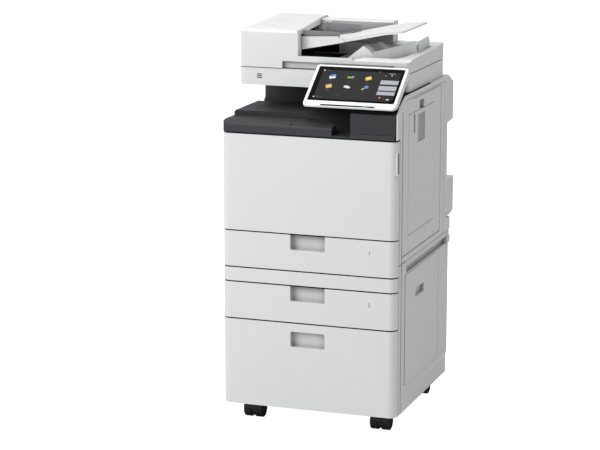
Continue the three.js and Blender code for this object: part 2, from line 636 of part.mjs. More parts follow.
/** Side view of the right door, grown by a margin. */
function sideDoorProfile(inset) {
  const { front, rear, bottom, top } = SIDE_DOOR;
  const { level: nose, shoulder } = SIDE_DOOR_NOSE;
  return [
    [front + inset, bottom + inset], [rear - inset, bottom + inset], [rear - inset, top - inset],
    [shoulder + inset * 0.6, top - inset], [front + 18 + inset * 0.6, nose + 2 - inset * 0.8],
    [front + inset, nose - 12 + inset * 0.4],
  ];
}

function rightDoor() {
  const inner = DOOR_FACE - DOOR_THICK;
  const outside = prism('x', sideDoorProfile(0), [inner, DOOR_FACE]);
  const bay = box([BYPASS_BAY, DOOR_FACE + 1],
    [BYPASS.front - RUN, BYPASS.rear + RUN], [BYPASS.bottom - 1.6, BYPASS.top + RUN]);
  const pull = prism('x', rectangle([216, 262], [BYPASS.top - 2, BYPASS.top + 26], [0, 0, 4, 4]),
    [DOOR_FACE - 12, DOOR_FACE + 1]);
  const feedSlot = box([inner - 1, DOOR_FACE], [BYPASS.front + 18, BYPASS.rear - 20],
    [BYPASS.bottom + 12, BYPASS.bottom + 24]);
  const back = prism('x', rectangle([SIDE_DOOR.front + 4, SIDE_DOOR.rear - 4],
    [SIDE_DOOR.bottom + 4, SIDE_DOOR_NOSE.level - 16]), [inner - 1, BYPASS_BAY - WALL]);
  return outside.subtract(join(bay, pull, feedSlot, back));
}

function bypassTray() {
  const { front, rear, bottom, top, thick } = BYPASS;
  const plate = prism('x', rectangle([front, rear], [bottom, top], 3),
    [DOOR_FACE - thick, DOOR_FACE]);
  const slot = prism('x', rectangle([front + 48, front + 61], [top - 58, top - 4], 3),
    [DOOR_FACE - 6, DOOR_FACE + 1]);
  const across = [front + 90, rear - 99];
  const vent = box([DOOR_FACE - 4, DOOR_FACE + 1], across, [top - 89, top - 10]);
  const slats = [];
  for (let level = top - 85; level < top - 12; level += 6) {
    slats.push(box([DOOR_FACE - 4.5, DOOR_FACE - 0.6], [across[0] - 1, across[1] + 1],
      [level, level + 2.6]));
  }
  return plate.subtract(join(slot, vent)).add(join(...slats));
}

// ---------------------------------------------------------------- exit tray and panel stand

function exitTray() {
  const low = DOOR_TOP + SEAM / 2;
  const lipProfile = [[0, low, 2], [LIP_DEPTH + 1, low], [LIP_DEPTH + 1, LIP_TOP],
    [36, LIP_TOP, 12], [3, LIP_TOP - 5, 8]].reverse();
  const plan = [[-HALF, 0, CORNER], [STAND.right, 0, 8], [STAND.right, STAND.step - 2],
    [STAND.inner, STAND.step - 2], [STAND.inner, LIP_DEPTH + 1], [-HALF, LIP_DEPTH + 1]];
  const lip = prism('x', lipProfile, [-HALF, STAND.right])
    .intersect(prism('z', plan, [low, LIP_TOP + 1], WIDE_ARC));
  const { from, to, drop } = EXIT_FALL;
  const bedProfile = [[-HALF, low], [STAND.inner, low], [STAND.inner, EXIT_FLOOR - drop - 4],
    [to, EXIT_FLOOR - drop], [from, EXIT_FLOOR], [4 - HALF, EXIT_FLOOR], [-HALF, EXIT_FLOOR - 4]];
  const rearFall = prism('x', [[EXIT_BACK - 60, EXIT_FLOOR], [EXIT_BACK, EXIT_FLOOR - 11],
    [EXIT_BACK, EXIT_FLOOR + 1], [EXIT_BACK - 60, EXIT_FLOOR + 1]], [-HALF - 1, STAND.inner]);
  const bed = prism('y', bedProfile, [LIP_DEPTH, EXIT_BACK + 4]).subtract(rearFall);
  const hollow = box([SHEET + 8 - HALF, STAND.inner - 12], [20, EXIT_BACK - 8],
    [low - 1, EXIT_FLOOR - drop - 8]);
  const back = box([6 - HALF, STAND.inner], [EXIT_BACK, EXIT_BACK + 4],
    [low, ENGINE_TOP - CLEAR]);
  const valley = prism('y', [[from, LIP_TOP + 1], [to, EXIT_FLOOR - drop],
    [STAND.inner + 1, EXIT_FLOOR - drop - 2], [STAND.inner + 1, LIP_TOP + 1]], [40, 106]);
  const notch = box([STAND.left - 54, STAND.left - 1], [-1, 42], [DOOR_TOP + 7, LIP_TOP + 1]);
  const standSeat = box([STAND.left - CLEAR, STAND.right + 1], [-1, EXIT_BACK - CLEAR],
    [STAND_BOTTOM, EXIT_FLOOR + 20]);
  const earSlot = box([-59, -51], [12, 20], [LIP_TOP - 10, LIP_TOP + 1]);
  return join(lip, bed, back).subtract(join(hollow, valley, notch, standSeat, earSlot));
}

/** The black housing under the operation panel; its left face holds the paper exit. */
function panelStand() {
  const { left, right, inner, front, step } = STAND;
  const low = STAND_BOTTOM + CLEAR;
  const ridge = ENGINE_TOP - CLEAR;
  const profile = [[front, low], [EXIT_BACK - 2 * CLEAR, low], [EXIT_BACK - 2 * CLEAR, ridge],
    [72, ridge], [14, ENGINE_TOP - 41, 6], [front, ENGINE_TOP - 43, 3]];
  const outside = prism('x', profile, [left, right]);
  const behind = box([inner, right + 1], [step, EXIT_BACK + 1], [low - 1, ENGINE_TOP]);
  const inside = box([left + WALL, inner - WALL], [step, EXIT_BACK - 6], [low - 1, ENGINE_TOP - 30]);
  const mouth = box([left - 1, left + WALL + 1], [PAPER_EXIT.front, PAPER_EXIT.rear],
    [PAPER_EXIT.bottom, PAPER_EXIT.top]);
  const ears = HINGE.ears.map((x) => panelEar(x + PANEL.left + 8));
  const foot = box([PANEL.left + 30, left + 1], [108, 128], [ENGINE_TOP - 12, ridge]);
  return join(outside.subtract(join(behind, inside, mouth)), foot, ...ears);
}

/** An upright ear with a bored eye for the panel's hinge pin. */
function panelEar(x) {
  const ear = prism('x', [[106, ENGINE_TOP - 11], [126, ENGINE_TOP - 11], [126, HINGE.z, 5],
    [120, HINGE.z + 9, 5], [112, HINGE.z + 9, 5], [106, HINGE.z, 5]], [x, x + HINGE.earWidth]);
  return ear.subtract(cylinder('x', HINGE.radius + 0.5, [x - 1, x + HINGE.earWidth + 1],
    [HINGE.y, HINGE.z]));
}

function exitRoller() {
  const centre = [STAND.left + 12, PAPER_EXIT.bottom + 10];
  const shaft = cylinder('y', 3, [STAND.step + CLEAR, EXIT_BACK - 6 - CLEAR], centre, 10);
  const rolls = [150, 210, 270].map((y) => cylinder('y', 8, [y, y + 24], centre));
  return join(shaft, ...rolls);
}

// ---------------------------------------------------------------- operation panel

/** The panel lies in its own plane: x across, y up the slope, z out of its face. */
function operationPanel() {
  const { width, length, thickness, lip } = PANEL;
  const slab = prism('z', rectangle([0, width], [0, length], [12, 12, 8, 8]), [-thickness, 0],
    WIDE_ARC);
  const undercut = prism('x', [[-1, -lip], [-1, -thickness - 1], [31, -thickness - 1]],
    [-1, width + 1]);
  const glass = screenPlan(0);
  const well = prism('z', rectangle(...glass, 3), [-SCREEN.sink - 2, 1]);
  const statusWell = box([STATUS.left, STATUS.left + STATUS.width],
    [STATUS.up, STATUS.up + STATUS.height], [-2, 1]);
  return slab.subtract(join(well, statusWell, undercut)).add(hingeBarrel());
}

/** Necks and a pin that join the panel's back to its stand. */
function hingeBarrel() {
  const tilt = THREE.MathUtils.degToRad(PANEL_TILT);
  const [dy, dz] = [HINGE.y - PANEL.front, HINGE.z - PANEL_BOTTOM];
  const along = dy * Math.cos(tilt) + dz * Math.sin(tilt);
  const under = -dy * Math.sin(tilt) + dz * Math.cos(tilt);
  const [first, last] = HINGE.ears;
  const pin = cylinder('x', HINGE.radius, [first + 6, last + 24], [along, under]);
  const neck = box([first + 26, last - 8], [along - 4, along + 4], [under, 1 - PANEL.thickness]);
  return join(pin, neck);
}

/** Width and length spans of the glass, pulled in by an inset. */
function screenPlan(inset) {
  const { side, bottom, top } = SCREEN;
  return [[side + inset, PANEL.width - side - inset], [bottom + inset, PANEL.length - top - inset]];
}

function touchScreen() {
  return prism('z', rectangle(...screenPlan(CLEAR), 3), [-SCREEN.sink - 1.6, -0.3]);
}

function statusBar() {
  return box([STATUS.left + CLEAR, STATUS.left + STATUS.width - CLEAR],
    [STATUS.up + CLEAR, STATUS.up + STATUS.height - CLEAR], [-1.6, -0.2]);
}

function controlPanel() {
  const group = assembly([PANEL.left, PANEL.front, PANEL_BOTTOM],
    piece('operation_panel', operationPanel(), 'bezel'),
    piece('touch_screen', touchScreen(), 'screen'),
    piece('status_bar', statusBar(), 'screen'));
  group.rotation.x = THREE.MathUtils.degToRad(PANEL_TILT);
  return group;
}

// ---------------------------------------------------------------- reader

/** Plan outline of the reader, pulled in by an inset. */
function readerPlan(inset) {
  const { left, right, front, rear, corner } = READER;
  return rectangle([left + inset, right - inset], [front + inset, rear - inset],
    [corner, corner, 6, 6].map((radius) => radius - inset));
}

function readerHousing() {
  const low = ENGINE_TOP + CLEAR;
  const outside = prism('z', readerPlan(0), [low, READER_TOP], WIDE_ARC);
  const inside = prism('z', readerPlan(WALL), [low + WALL, READER_TOP - WALL]);
  const window = box([PLATEN.left, PLATEN.right], [PLATEN.front, PLATEN.rear],
    [READER_TOP - WALL - 1, READER_TOP + 1]);
  const strip = box([READING_STRIP.left, READING_STRIP.right], [PLATEN.front, PLATEN.rear],
    [READER_TOP - WALL - 1, READER_TOP + 1]);
  const rail = box([READER.left + 8, READER.right - 8], [RAIL.front, RAIL.rear],
    [low + 1, low + WALL + RAIL.height]);
  return outside.subtract(join(inside, window, strip)).add(rail);
}

function platenGlass() {
  return box([PLATEN.left + CLEAR, PLATEN.right - CLEAR], [PLATEN.front + CLEAR, PLATEN.rear - CLEAR],
    [READER_TOP - WALL, READER_TOP - 0.3]);
}

/** The lamp and sensor carriage, which rests under the narrow reading strip. */
function scanCarriage() {
  const { left, width, height, lift } = CARRIAGE;
  const low = ENGINE_TOP + CLEAR + WALL + lift;
  const span = [PLATEN.front, PLATEN.rear];
  const body = box([left, left + width], [span[0] - 6, span[1] + 6], [low, low + height]);
  const railSlot = box([left - 1, left + width + 1], [RAIL.front - 1.5, RAIL.rear + 1.5],
    [low - 1, low + RAIL.height]);
  const lamp = box([left + 8, left + width - 8], span, [low + height - 2, low + height + 1]);
  return body.subtract(join(railSlot, lamp));
}

// ---------------------------------------------------------------- document feeder

/** The feeder's base and block in one moulding, with the delivery tray sunk into it. */
function feederBase() {
  const { base: low, front, rear, blockTop, rise, rimTop } = FEEDER;
  const { left, right, corner } = READER;
  const above = blockTop + rise + 30;
  const plan = rectangle([left, right], [front, rear], [corner, 14, 6, 6]);
  const slab = prism('z', plan, [low, blockTop + rise + 1], WIDE_ARC);
  const frontView = [[left, low], [right, low], [right, rimTop + 20], [BLOCK_EDGE, rimTop + 20],
    [BLOCK_EDGE, blockTop - 12], [BLOCK_RIGHT, blockTop + rise], [left + 3, blockTop + rise],
    [left, blockTop - 3]];
  const sideView = [[front, low], [rear, low], [rear, blockTop + rise - 4, 4],
    [rear - 6, blockTop + rise], [front + 6, blockTop, 5], [front, blockTop - 6, 5]];
  const hull = slab.intersect(prism('y', frontView, [front - 1, rear + 1]))
    .intersect(prism('x', sideView, [left - 1, right + 1]));
  return hull.subtract(join(rimCuts(above), sunkenBed(above), seats(above))).add(join(
    deliveryRidge(DELIVERY_PEAK, [192, 232], rimTop + 30),
    deliveryRidge(DELIVERY_PEAK - 5, [330, 372], rimTop + 21), deliveryRib()));
}

/** The rim stands lower than the block, climbs to the back and is bevelled on its wide part. */
function rimCuts(above) {
  const { front, rear, rimTop } = FEEDER;
  const right = READER.right + 1;
  const climb = prism('x', [[front - 1, rimTop], [front + 34, rimTop + 1],
    [361, rimTop + 4], [440, rimTop + 8], [rear + 1, rimTop + 11], [rear + 1, above],
    [front - 1, above]], [BLOCK_EDGE, right]);
  const shoulder = prism('x', [[front - 1, rimTop - 6], [front + 40, rimTop + 3],
    [front + 40, rimTop + 4], [front - 1, rimTop + 4]], [RIM_WIDE_FROM, right]);
  return join(climb, shoulder);
}

/** The delivery bed rises to the right, and its front rim is narrow next to the block. */
function sunkenBed(above) {
  const narrowEnd = RIM_WIDE_FROM - 4;
  const bedEnd = STOPPER.x - 8;
  const bed = prism('y', [[BAY.left, 10.5], [BLOCK_EDGE + 100, 11.5], [BLOCK_EDGE + 220, 23.5],
    [bedEnd, 36.5], [bedEnd, above], [BLOCK_EDGE, above], [BLOCK_EDGE, COVER_BOTTOM],
    [BAY.left, COVER_BOTTOM]], [BAY.front, BAY.rear]);
  const narrowRim = prism('z', [[BLOCK_EDGE, FEEDER.front + 7], [narrowEnd, FEEDER.front + 7],
    [narrowEnd + 36, BAY.front + 4], [BLOCK_EDGE, BAY.front + 4]], [RIM_LEDGE, above]);
  return join(bed, narrowRim);
}

/** Room for the cover, the lifting grip, the document pad and the folded stopper tab. */
function seats(above) {
  const { base, front } = FEEDER;
  const cover = box([READER.left - 1, BLOCK_EDGE + 1], [COVER.front, COVER.rear],
    [COVER_BOTTOM, above]);
  const pull = box([BLOCK_EDGE - 46.5, READER.right - 44], [front - 1, front + 12],
    [base - 1, base + 20]);
  const pad = box([READING_STRIP.left - 2, PLATEN.right + PAD_MARGIN + 2],
    [PLATEN.front - PAD_MARGIN - 2, PLATEN.rear + PAD_MARGIN + 2], [base - 1, base + PAD_SINK]);
  const stopper = box([STOPPER.x - STOPPER.height - 2, STOPPER.x + 5],
    [STOPPER.front - 2, STOPPER.rear + 2], [STOPPER.base - 7, STOPPER.base + 40]);
  const wallArm = box([BLOCK_EDGE - COVER.slant, BLOCK_EDGE + 1], [COVER.rear - 1, FEEDER.rear + 1],
    [COVER_BOTTOM, above]);
  return join(cover, pull, pad, stopper, wallArm);
}

/** A hump on the delivery bed that keeps the sheets apart. */
function deliveryRidge(x, across, top) {
  return prism('y', [[x - 76, 8.5], [x + 70, 8.5], [x + 2, top, 2], [x - 2, top, 2]], across);
}

/** A rib from the first hump to the stopper, which lifts the sheets' near corner. */
function deliveryRib() {
  const { rimTop } = FEEDER;
  const start = DELIVERY_PEAK + 25;
  const end = STOPPER.x - 3;
  const rear = STOPPER.front - 4;
  return library.Manifold.hull([
    [start - 4, 203, 8.5], [start + 5, 191, 8.5], [end - 4, rear, 8.5], [end + 5, rear - 12, 8.5],
    [start - 2, 201, rimTop + 13], [start + 1, 198, rimTop + 12], [end - 1, rear, rimTop + 36.5],
    [end + 1, rear - 3, rimTop + 35.5],
  ]);
}

function feederCover() {
  const { blockTop, rise } = FEEDER;
  const left = READER.left + 2;
  const low = COVER_BOTTOM + CLEAR;
  const [front, rear] = [COVER.front + 0.6, COVER.rear - 0.6];
  const climb = (y) => blockTop + rise * (y - FEEDER.front) / (FEEDER.rear - FEEDER.front);
  const sideView = [[front, low], [rear, low], [rear, climb(rear)], [front, climb(front)]];
  const frontView = [[left, low], [BLOCK_EDGE, low], [BLOCK_EDGE, blockTop - 9],
    [BLOCK_RIGHT, blockTop + rise], [left + 2, blockTop + rise], [left, blockTop - 4]];
  const hull = prism('x', sideView, [left, BLOCK_EDGE])
    .intersect(prism('y', frontView, [front, rear]));
  const inside = box([left + 14, BLOCK_RIGHT - COVER.slant - 4], [front + 12, rear - 12],
    [low - 1, blockTop - 5]);
  const slant = prism('z', [[BLOCK_EDGE + 1, front - 1], [BLOCK_EDGE + 1, rear + 1],
    [BLOCK_EDGE - COVER.slant, rear + 1], [BLOCK_EDGE - COVER.slant, REAR_WALL.front - 4],
    [BLOCK_EDGE, front - 1]], [low - 1, blockTop + rise + 1]);
  return hull.subtract(join(inside, slant));
}

function rearWall() {
  const { front, rear, length, bottom, top } = REAR_WALL;
  const left = BLOCK_EDGE + CLEAR;
  const right = left + length;
  const outside = prism('x', [[front, bottom + 2], [rear, bottom + 6], [rear, top, 4],
    [front, top, 3]], [left, right]);
  const inside = box([left + WALL, right - WALL], [front + WALL, rear - WALL],
    [bottom - 1, top - WALL]);
  const arm = prism('x', [[front, COVER_BOTTOM + CLEAR], [rear, COVER_BOTTOM + CLEAR],
    [rear, top, 4], [front, top, 3]], [BLOCK_EDGE - COVER.slant + CLEAR, left + 1]);
  return outside.subtract(inside).add(arm);
}

/** The document tray: a plate that climbs to the right, with a skirt at its feeder end. */
function documentTray() {
  const left = BLOCK_EDGE + 1.2;
  const kink = left + 105.3;
  const bend = left + 127.3;
  const { front, rear } = DOCUMENT_SPAN;
  const sideView = [[left, 67.5], [left, 59.5], [bend, 78.5], [bend + 47, 88],
    [bend + 116, 103], [bend + 167, 109], [bend + 169, 112, 2], [bend + 167, 115],
    [bend + 116, 111.5], [bend + 47, 98.5], [kink, 83.5]];
  const plate = prism('y', sideView, [front, rear])
    .intersect(prism('z', rectangle([left, bend + 170], [front, rear], [0, 12, 12, 0]), [40, 140]));
  const skirt = prism('y', [[left, 53], [kink, 73.5], [bend, 78.5], [kink, 94], [left, 89]],
    [front - 3, front + 0.5]);
  const trackAcross = [left + 46.8, left + 54.8];
  const tracks = [[GUIDES.front - 2, GUIDES.front + 78], [GUIDES.rear - 78, GUIDES.rear + 2]]
    .map((along) => box(trackAcross, along, [50, 100]));
  return plate.add(skirt).subtract(join(...tracks));
}

/** A side guide that stands on the document tray and slides across it. */
function guide(y, inward) {
  const left = BLOCK_EDGE + 2;
  const right = left + GUIDES.length;
  const foot = (x) => 67.5 + (x - left) * 16 / 104 + GUIDES.lift;
  const fence = prism('y', [[left, foot(left)], [right, foot(right)], [right, GUIDES.top - 3, 4],
    [left, GUIDES.top]], [y, y + GUIDES.thickness]);
  const across = inward > 0 ? [y, y + 20] : [y - 20 + GUIDES.thickness, y + GUIDES.thickness];
  const [heel, toe] = [left + 18, right - 14];
  const shoe = prism('y', [[heel, foot(heel)], [toe, foot(toe)], [toe, foot(toe) + 2],
    [heel, foot(heel) + 2]], across);
  return fence.add(shoe);
}

function stopperTab() {
  const { x, front, rear, base, height, thickness } = STOPPER;
  const plate = prism('x', [[front + 2, base], [rear - 2, base], [rear - 2, base + height, 14],
    [front + 2, base + height - 4, 8]], [x - thickness / 2, x + thickness / 2]);
  const hinge = cylinder('y', STOPPER_BARREL, [front + 1, rear - 1], [x, base], 12);
  return plate.add(hinge);
}

function feedRoller() {
  const { x, z, radius, shaft } = FEED_ROLLER;
  const axle = cylinder('y', shaft, [BAY.front + CLEAR, BAY.rear - CLEAR], [x, z], 10);
  const rolls = [276, 312].map((y) => cylinder('y', radius, [y, y + 22], [x, z]));
  return join(axle, ...rolls);
}

function documentPad() {
  return box([READING_STRIP.left, PLATEN.right + PAD_MARGIN],
    [PLATEN.front - PAD_MARGIN, PLATEN.rear + PAD_MARGIN],
    [PAD_LOW, FEEDER.base + PAD_SINK - CLEAR]);
}

// ---------------------------------------------------------------- inside the engine

/** The four bottles stand side by side, evenly about a line left of the middle. */
function bottlePlaces() {
  const pitch = 2 * BOTTLE.radius + BOTTLE.spacing;
  return [-1.5, -0.5, 0.5, 1.5].map((step) => step * pitch - 36);
}

/** A toner bottle with its ribbed front cap, turned about its own axis. */
function tonerBottle() {
  const { radius, length } = BOTTLE;
  const section = [[0, 0], [radius - 6, 0], [radius - 3, 3], [radius - 3, 14], [radius, 18],
    [radius, length - 20], [radius - 10, length], [0, length]];
  const turned = new THREE.LatheGeometry(section.map(([r, y]) => new THREE.Vector2(r, y)), 20);
  const grip = box([-radius * 0.7, radius * 0.7], [-5, 1], [-3, 3]);
  return solidOf(turned).add(grip);
}

function tonerBottles() {
  const colours = ['yellow', 'magenta', 'cyan', 'black'];
  return bottlePlaces().map((x, index) => {
    const bottle = piece(`toner_bottle_${colours[index]}`, tonerBottle(), 'toner');
    bottle.position.set(x, SIDE_FRONT + BOTTLE.cap, BOTTLE.height);
    return bottle;
  });
}

/** The transfer belt on its two end rollers, and the four drums under it. */
function transferUnit() {
  const [left, right] = [bottlePlaces()[0] - 35, bottlePlaces()[3] + 72];
  const top = BOTTLE.height - BOTTLE.radius - 25;
  const belt = prism('y', rectangle([left, right], [top - 34, top], 16), [70, 400]);
  const drums = bottlePlaces().map((x) => cylinder('y', 15, [60, 410], [x, top - 44]));
  const ends = [[60, 70], [400, 410]].map((along) => (
    box([left + 5, right - 5], along, [top - 62, top - 12])));
  return join(belt, ...drums, ...ends);
}

function laserUnit() {
  const low = UPPER_CASSETTE_TOP + 15;
  const [left, right] = [bottlePlaces()[0] - 40, bottlePlaces()[3] + 82];
  const body = prism('y', [[left, low], [right, low], [right, low + 36], [right - 40, low + 46],
    [left + 40, low + 46], [left, low + 36]], [80, 420]);
  const slits = bottlePlaces().map((x) => box([x - 3, x + 3], [100, 400], [low + 42, low + 47]));
  return body.subtract(join(...slits));
}

function fixingUnit() {
  const [left, right] = [HALF - 83.5, HALF - 33.5];
  const [low, high] = [DOOR_TOP - 101, DOOR_TOP - 17];
  const frame = box([left, right], [70, 400], [low, high]);
  const channel = box([left + 22, left + 28], [90, 380], [low - 1, high + 1]);
  return frame.subtract(channel);
}

function exhaustFan() {
  const hubRadius = 13;
  const hub = cylinder('y', hubRadius, [478, 494], [FAN.x, FAN.height]);
  const blades = [];
  const count = 7;
  for (let turn = 0; turn < count; turn += 1) {
    const blade = new THREE.BoxGeometry(4, 11, FAN.radius - hubRadius + 3);
    blade.translate(0, 0, (FAN.radius + hubRadius - 3) / 2);
    blade.rotateY(turn * 2 * Math.PI / count);
    blade.translate(FAN.x, 486, FAN.height);
    blades.push(solidOf(blade));
  }
  return join(hub, ...blades);
}

function powerSwitch() {
  const { x, width, height, level } = POWER_SWITCH;
  return prism('y', rectangle([x - width / 2, x + width / 2],
    [level - height / 2, level + height / 2], 2), [SIDE_FRONT - 1.5, SIDE_FRONT + 8]);
}

// ---------------------------------------------------------------- the whole machine

const cabinet = assembly([0, 0, 0],
  piece('base_plate', basePlate(), 'steel'),
  piece('cabinet_left_cover', cabinetLeftCover(), 'side'),
  piece('cabinet_right_cover', cabinetRightCover(), 'side'),
  piece('cabinet_rear_cover', cabinetRearCover(), 'side'),
  piece('deck_plate', deckPlate(), 'steel'),
  piece('front_strip', frontPanel(CASSETTE_TOP, STRIP_TOP), 'white'),
  piece('lower_right_door', lowerRightDoor(), 'side'),
  ...casters(),
  ...drawers());

const engine = assembly([0, 0, 0],
  piece('main_left_cover', mainLeftCover(), 'side'),
  piece('main_right_cover', mainRightCover(), 'side'),
  piece('main_rear_cover', mainRearCover(), 'side'),
  piece('rear_lower_cover', rearLowerCover(), 'side'),
  piece('rear_upper_cover', rearUpperCover(), 'side'),
  piece('ac_inlet', acInlet(), 'black'),
  piece('inner_front_panel', innerFrontPanel(), 'cover'),
  piece('front_door', frontDoor(), 'white'),
  piece('right_door', rightDoor(), 'side'),
  piece('bypass_tray', bypassTray(), 'side'),
  piece('exit_tray', exitTray(), 'black'),
  piece('panel_stand', panelStand(), 'black'),
  piece('exit_roller', exitRoller(), 'rubber'),
  piece('transfer_unit', transferUnit(), 'toner'),
  piece('laser_unit', laserUnit(), 'steel'),
  piece('fixing_unit', fixingUnit(), 'orange'),
  piece('exhaust_fan', exhaustFan(), 'black'),
  piece('power_switch', powerSwitch(), 'black'),
  ...tonerBottles(),
  controlPanel());

const reader = assembly([0, 0, 0],
  piece('reader_housing', readerHousing(), 'white'),
  piece('platen_glass', platenGlass(), 'glass'),
  piece('scan_carriage', scanCarriage(), 'black'));

const feeder = assembly([0, 0, READER_TOP],
  piece('feeder_base', feederBase(), 'white'),
  piece('feeder_cover', feederCover(), 'white'),
  piece('feeder_rear_wall', rearWall(), 'white'),
  piece('document_tray', documentTray(), 'white'),
  piece('document_guide_front', guide(GUIDES.front, 1), 'white'),
  piece('document_guide_rear', guide(GUIDES.rear, -1), 'white'),
  piece('stopper_tab', stopperTab(), 'white'),
  piece('feeder_roller', feedRoller(), 'rubber'),
  piece('document_pad', documentPad(), 'bezel'));

const machine = assembly([0, -DEPTH_CENTRE, FLOOR_GAP], cabinet, engine, reader, feeder);

export default machine;
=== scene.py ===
"""Finishes and fine pieces of a floor-standing colour copier, built around its packed frame."""
import json
import math

import bmesh
import bpy
import numpy as np
from bpy.props import FloatProperty, FloatVectorProperty, IntProperty, PointerProperty
from mathutils import Euler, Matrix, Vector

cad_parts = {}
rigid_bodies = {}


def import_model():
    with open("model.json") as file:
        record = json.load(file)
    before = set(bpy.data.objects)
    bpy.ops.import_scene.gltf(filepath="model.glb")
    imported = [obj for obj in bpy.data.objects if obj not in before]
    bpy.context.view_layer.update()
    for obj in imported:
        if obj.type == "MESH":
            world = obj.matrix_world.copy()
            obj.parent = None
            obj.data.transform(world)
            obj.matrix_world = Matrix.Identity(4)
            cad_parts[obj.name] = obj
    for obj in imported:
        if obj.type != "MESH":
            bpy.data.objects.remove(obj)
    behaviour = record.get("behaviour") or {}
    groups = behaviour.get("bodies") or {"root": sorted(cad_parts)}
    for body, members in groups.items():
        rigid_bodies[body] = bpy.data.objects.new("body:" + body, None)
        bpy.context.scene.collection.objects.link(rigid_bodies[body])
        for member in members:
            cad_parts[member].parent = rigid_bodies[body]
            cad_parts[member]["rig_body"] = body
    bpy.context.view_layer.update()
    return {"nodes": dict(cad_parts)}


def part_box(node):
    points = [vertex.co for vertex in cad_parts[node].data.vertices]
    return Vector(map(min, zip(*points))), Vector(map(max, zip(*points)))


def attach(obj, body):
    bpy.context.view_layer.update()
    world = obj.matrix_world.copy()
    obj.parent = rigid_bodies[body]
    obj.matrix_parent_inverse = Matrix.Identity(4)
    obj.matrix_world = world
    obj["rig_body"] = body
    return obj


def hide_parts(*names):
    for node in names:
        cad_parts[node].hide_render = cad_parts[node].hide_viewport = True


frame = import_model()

bl_info = {
    "name": "Office Copier Finishes",
    "version": (1, 0, 0),
    "blender": (4, 5, 0),
    "location": "View3D > Sidebar > Copier",
    "description": "Covers, casters, touch panel and studio for a floor-standing copier",
    "category": "Object",
}

MM = 0.001


def tone(red, green, blue):
    """A display colour from 0 to 255 as the linear colour that shaders read."""
    share = np.array([red, green, blue]) / 255
    linear = np.where(share <= 0.04045, share / 12.92, ((share + 0.055) / 1.055) ** 2.4)
    return tuple(float(value) for value in linear)


# ------------------------------------------------------------------ settings

class CopierSizes(bpy.types.PropertyGroup):
    """Sizes of the fine pieces."""

    edge_radius: FloatProperty(
        name="Edge Radius", description="Rounding along the edges of the moulded covers",
        default=0.8 * MM, min=0.0, unit="LENGTH")
    edge_segments: IntProperty(
        name="Edge Segments", description="Facets across each rounded edge", default=2, min=1)
    wheel_rounding: FloatProperty(
        name="Tread Rounding", description="Shoulder radius of the caster wheels",
        default=3.5 * MM, min=0.0, unit="LENGTH")
    round_segments: IntProperty(
        name="Round Segments", description="Facets round each turned piece", default=48, min=12)
    # The strips set in the seams above the front panels are painted shade
    seam_shadow_thickness: FloatProperty(
        name="Seam Shadow Thickness", description="How far a seam shadow strip stands above its panel",
        default=1.8 * MM, min=0.0, unit="LENGTH")
    screw_diameter: FloatProperty(
        name="Screw Head", description="Diameter of the cover screws' heads",
        default=6.4 * MM, min=0.001, unit="LENGTH")
    numeral_height: FloatProperty(
        name="Numeral Height", description="Height of the figures on the cassettes",
        default=14 * MM, min=0.001, unit="LENGTH")
    icon_size: FloatProperty(
        name="Icon Size", description="Width of an icon on the touch screen",
        default=21 * MM, min=0.001, unit="LENGTH")


class CopierColours(bpy.types.PropertyGroup):
    """Base colours of the finishes."""

    white: FloatVectorProperty(
        name="White Covers", description="Front panels, reader and feeder",
        default=tone(236, 237, 236), size=3, subtype="COLOR", min=0, max=1)
    # The side white is a slightly darker copy of the front white: painted shade on the covers
    # that face away from the key light
    side: FloatVectorProperty(
        name="Side Covers", description="Covers on the two sides and the rear",
        default=tone(232, 232, 231), size=3, subtype="COLOR", min=0, max=1)
    black: FloatVectorProperty(
        name="Black Covers", description="Exit tray, panel stand and caster hoods",
        default=tone(56, 56, 60), size=3, subtype="COLOR", min=0, max=1)
    tray: FloatVectorProperty(
        name="Trays", description="Cassette and drawer bodies",
        default=tone(168, 170, 172), size=3, subtype="COLOR", min=0, max=1)
    rubber: FloatVectorProperty(
        name="Rubber", description="Feed rollers and wheel treads",
        default=tone(40, 40, 42), size=3, subtype="COLOR", min=0, max=1)
    metal: FloatVectorProperty(
        name="Zinc Plate", description="Frame plates and lift plates",
        default=tone(190, 194, 198), size=3, subtype="COLOR", min=0, max=1)
    lamp: FloatVectorProperty(
        name="Status Lamp", description="Lamp in the panel's status bar",
        default=tone(74, 176, 82), size=3, subtype="COLOR", min=0, max=1)


class CopierStudio(bpy.types.PropertyGroup):
    """Camera, light and floor."""

    lens: FloatProperty(
        name="Lens", description="Focal length on a 36 mm sensor", default=130.3, min=1)
    camera_place: FloatVectorProperty(
        name="Camera Place", description="Where the camera stands",
        default=(1.9266, -5.8375, 1.8538), size=3, subtype="TRANSLATION", unit="LENGTH")
    camera_turn: FloatVectorProperty(
        name="Camera Turn", description="How the camera is turned",
        default=(math.radians(77.89), 0, math.radians(19.38)), size=3, subtype="EULER")
    key_power: FloatProperty(
        name="Key Light", description="Power of the large light at the front left",
        default=66.0, min=0, unit="POWER")
    top_power: FloatProperty(
        name="Top Light", description="Power of the light overhead", default=20.0, min=0,
        unit="POWER")
    ambient: FloatProperty(
        name="Ambient Light", description="Strength of the white surroundings",
        default=0.58, min=0)
    floor: FloatVectorProperty(
        name="Floor", description="Colour of the floor", default=tone(200, 200, 200), size=3,
        subtype="COLOR", min=0, max=1)


# ------------------------------------------------------------------ places

def spot(node):
    """Lowest and highest corner of a CAD node, as arrays."""
    low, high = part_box(node)
    return np.array(low), np.array(high)


def body_of(node):
    """The body that a CAD node moves with."""
    return frame["nodes"][node]["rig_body"]


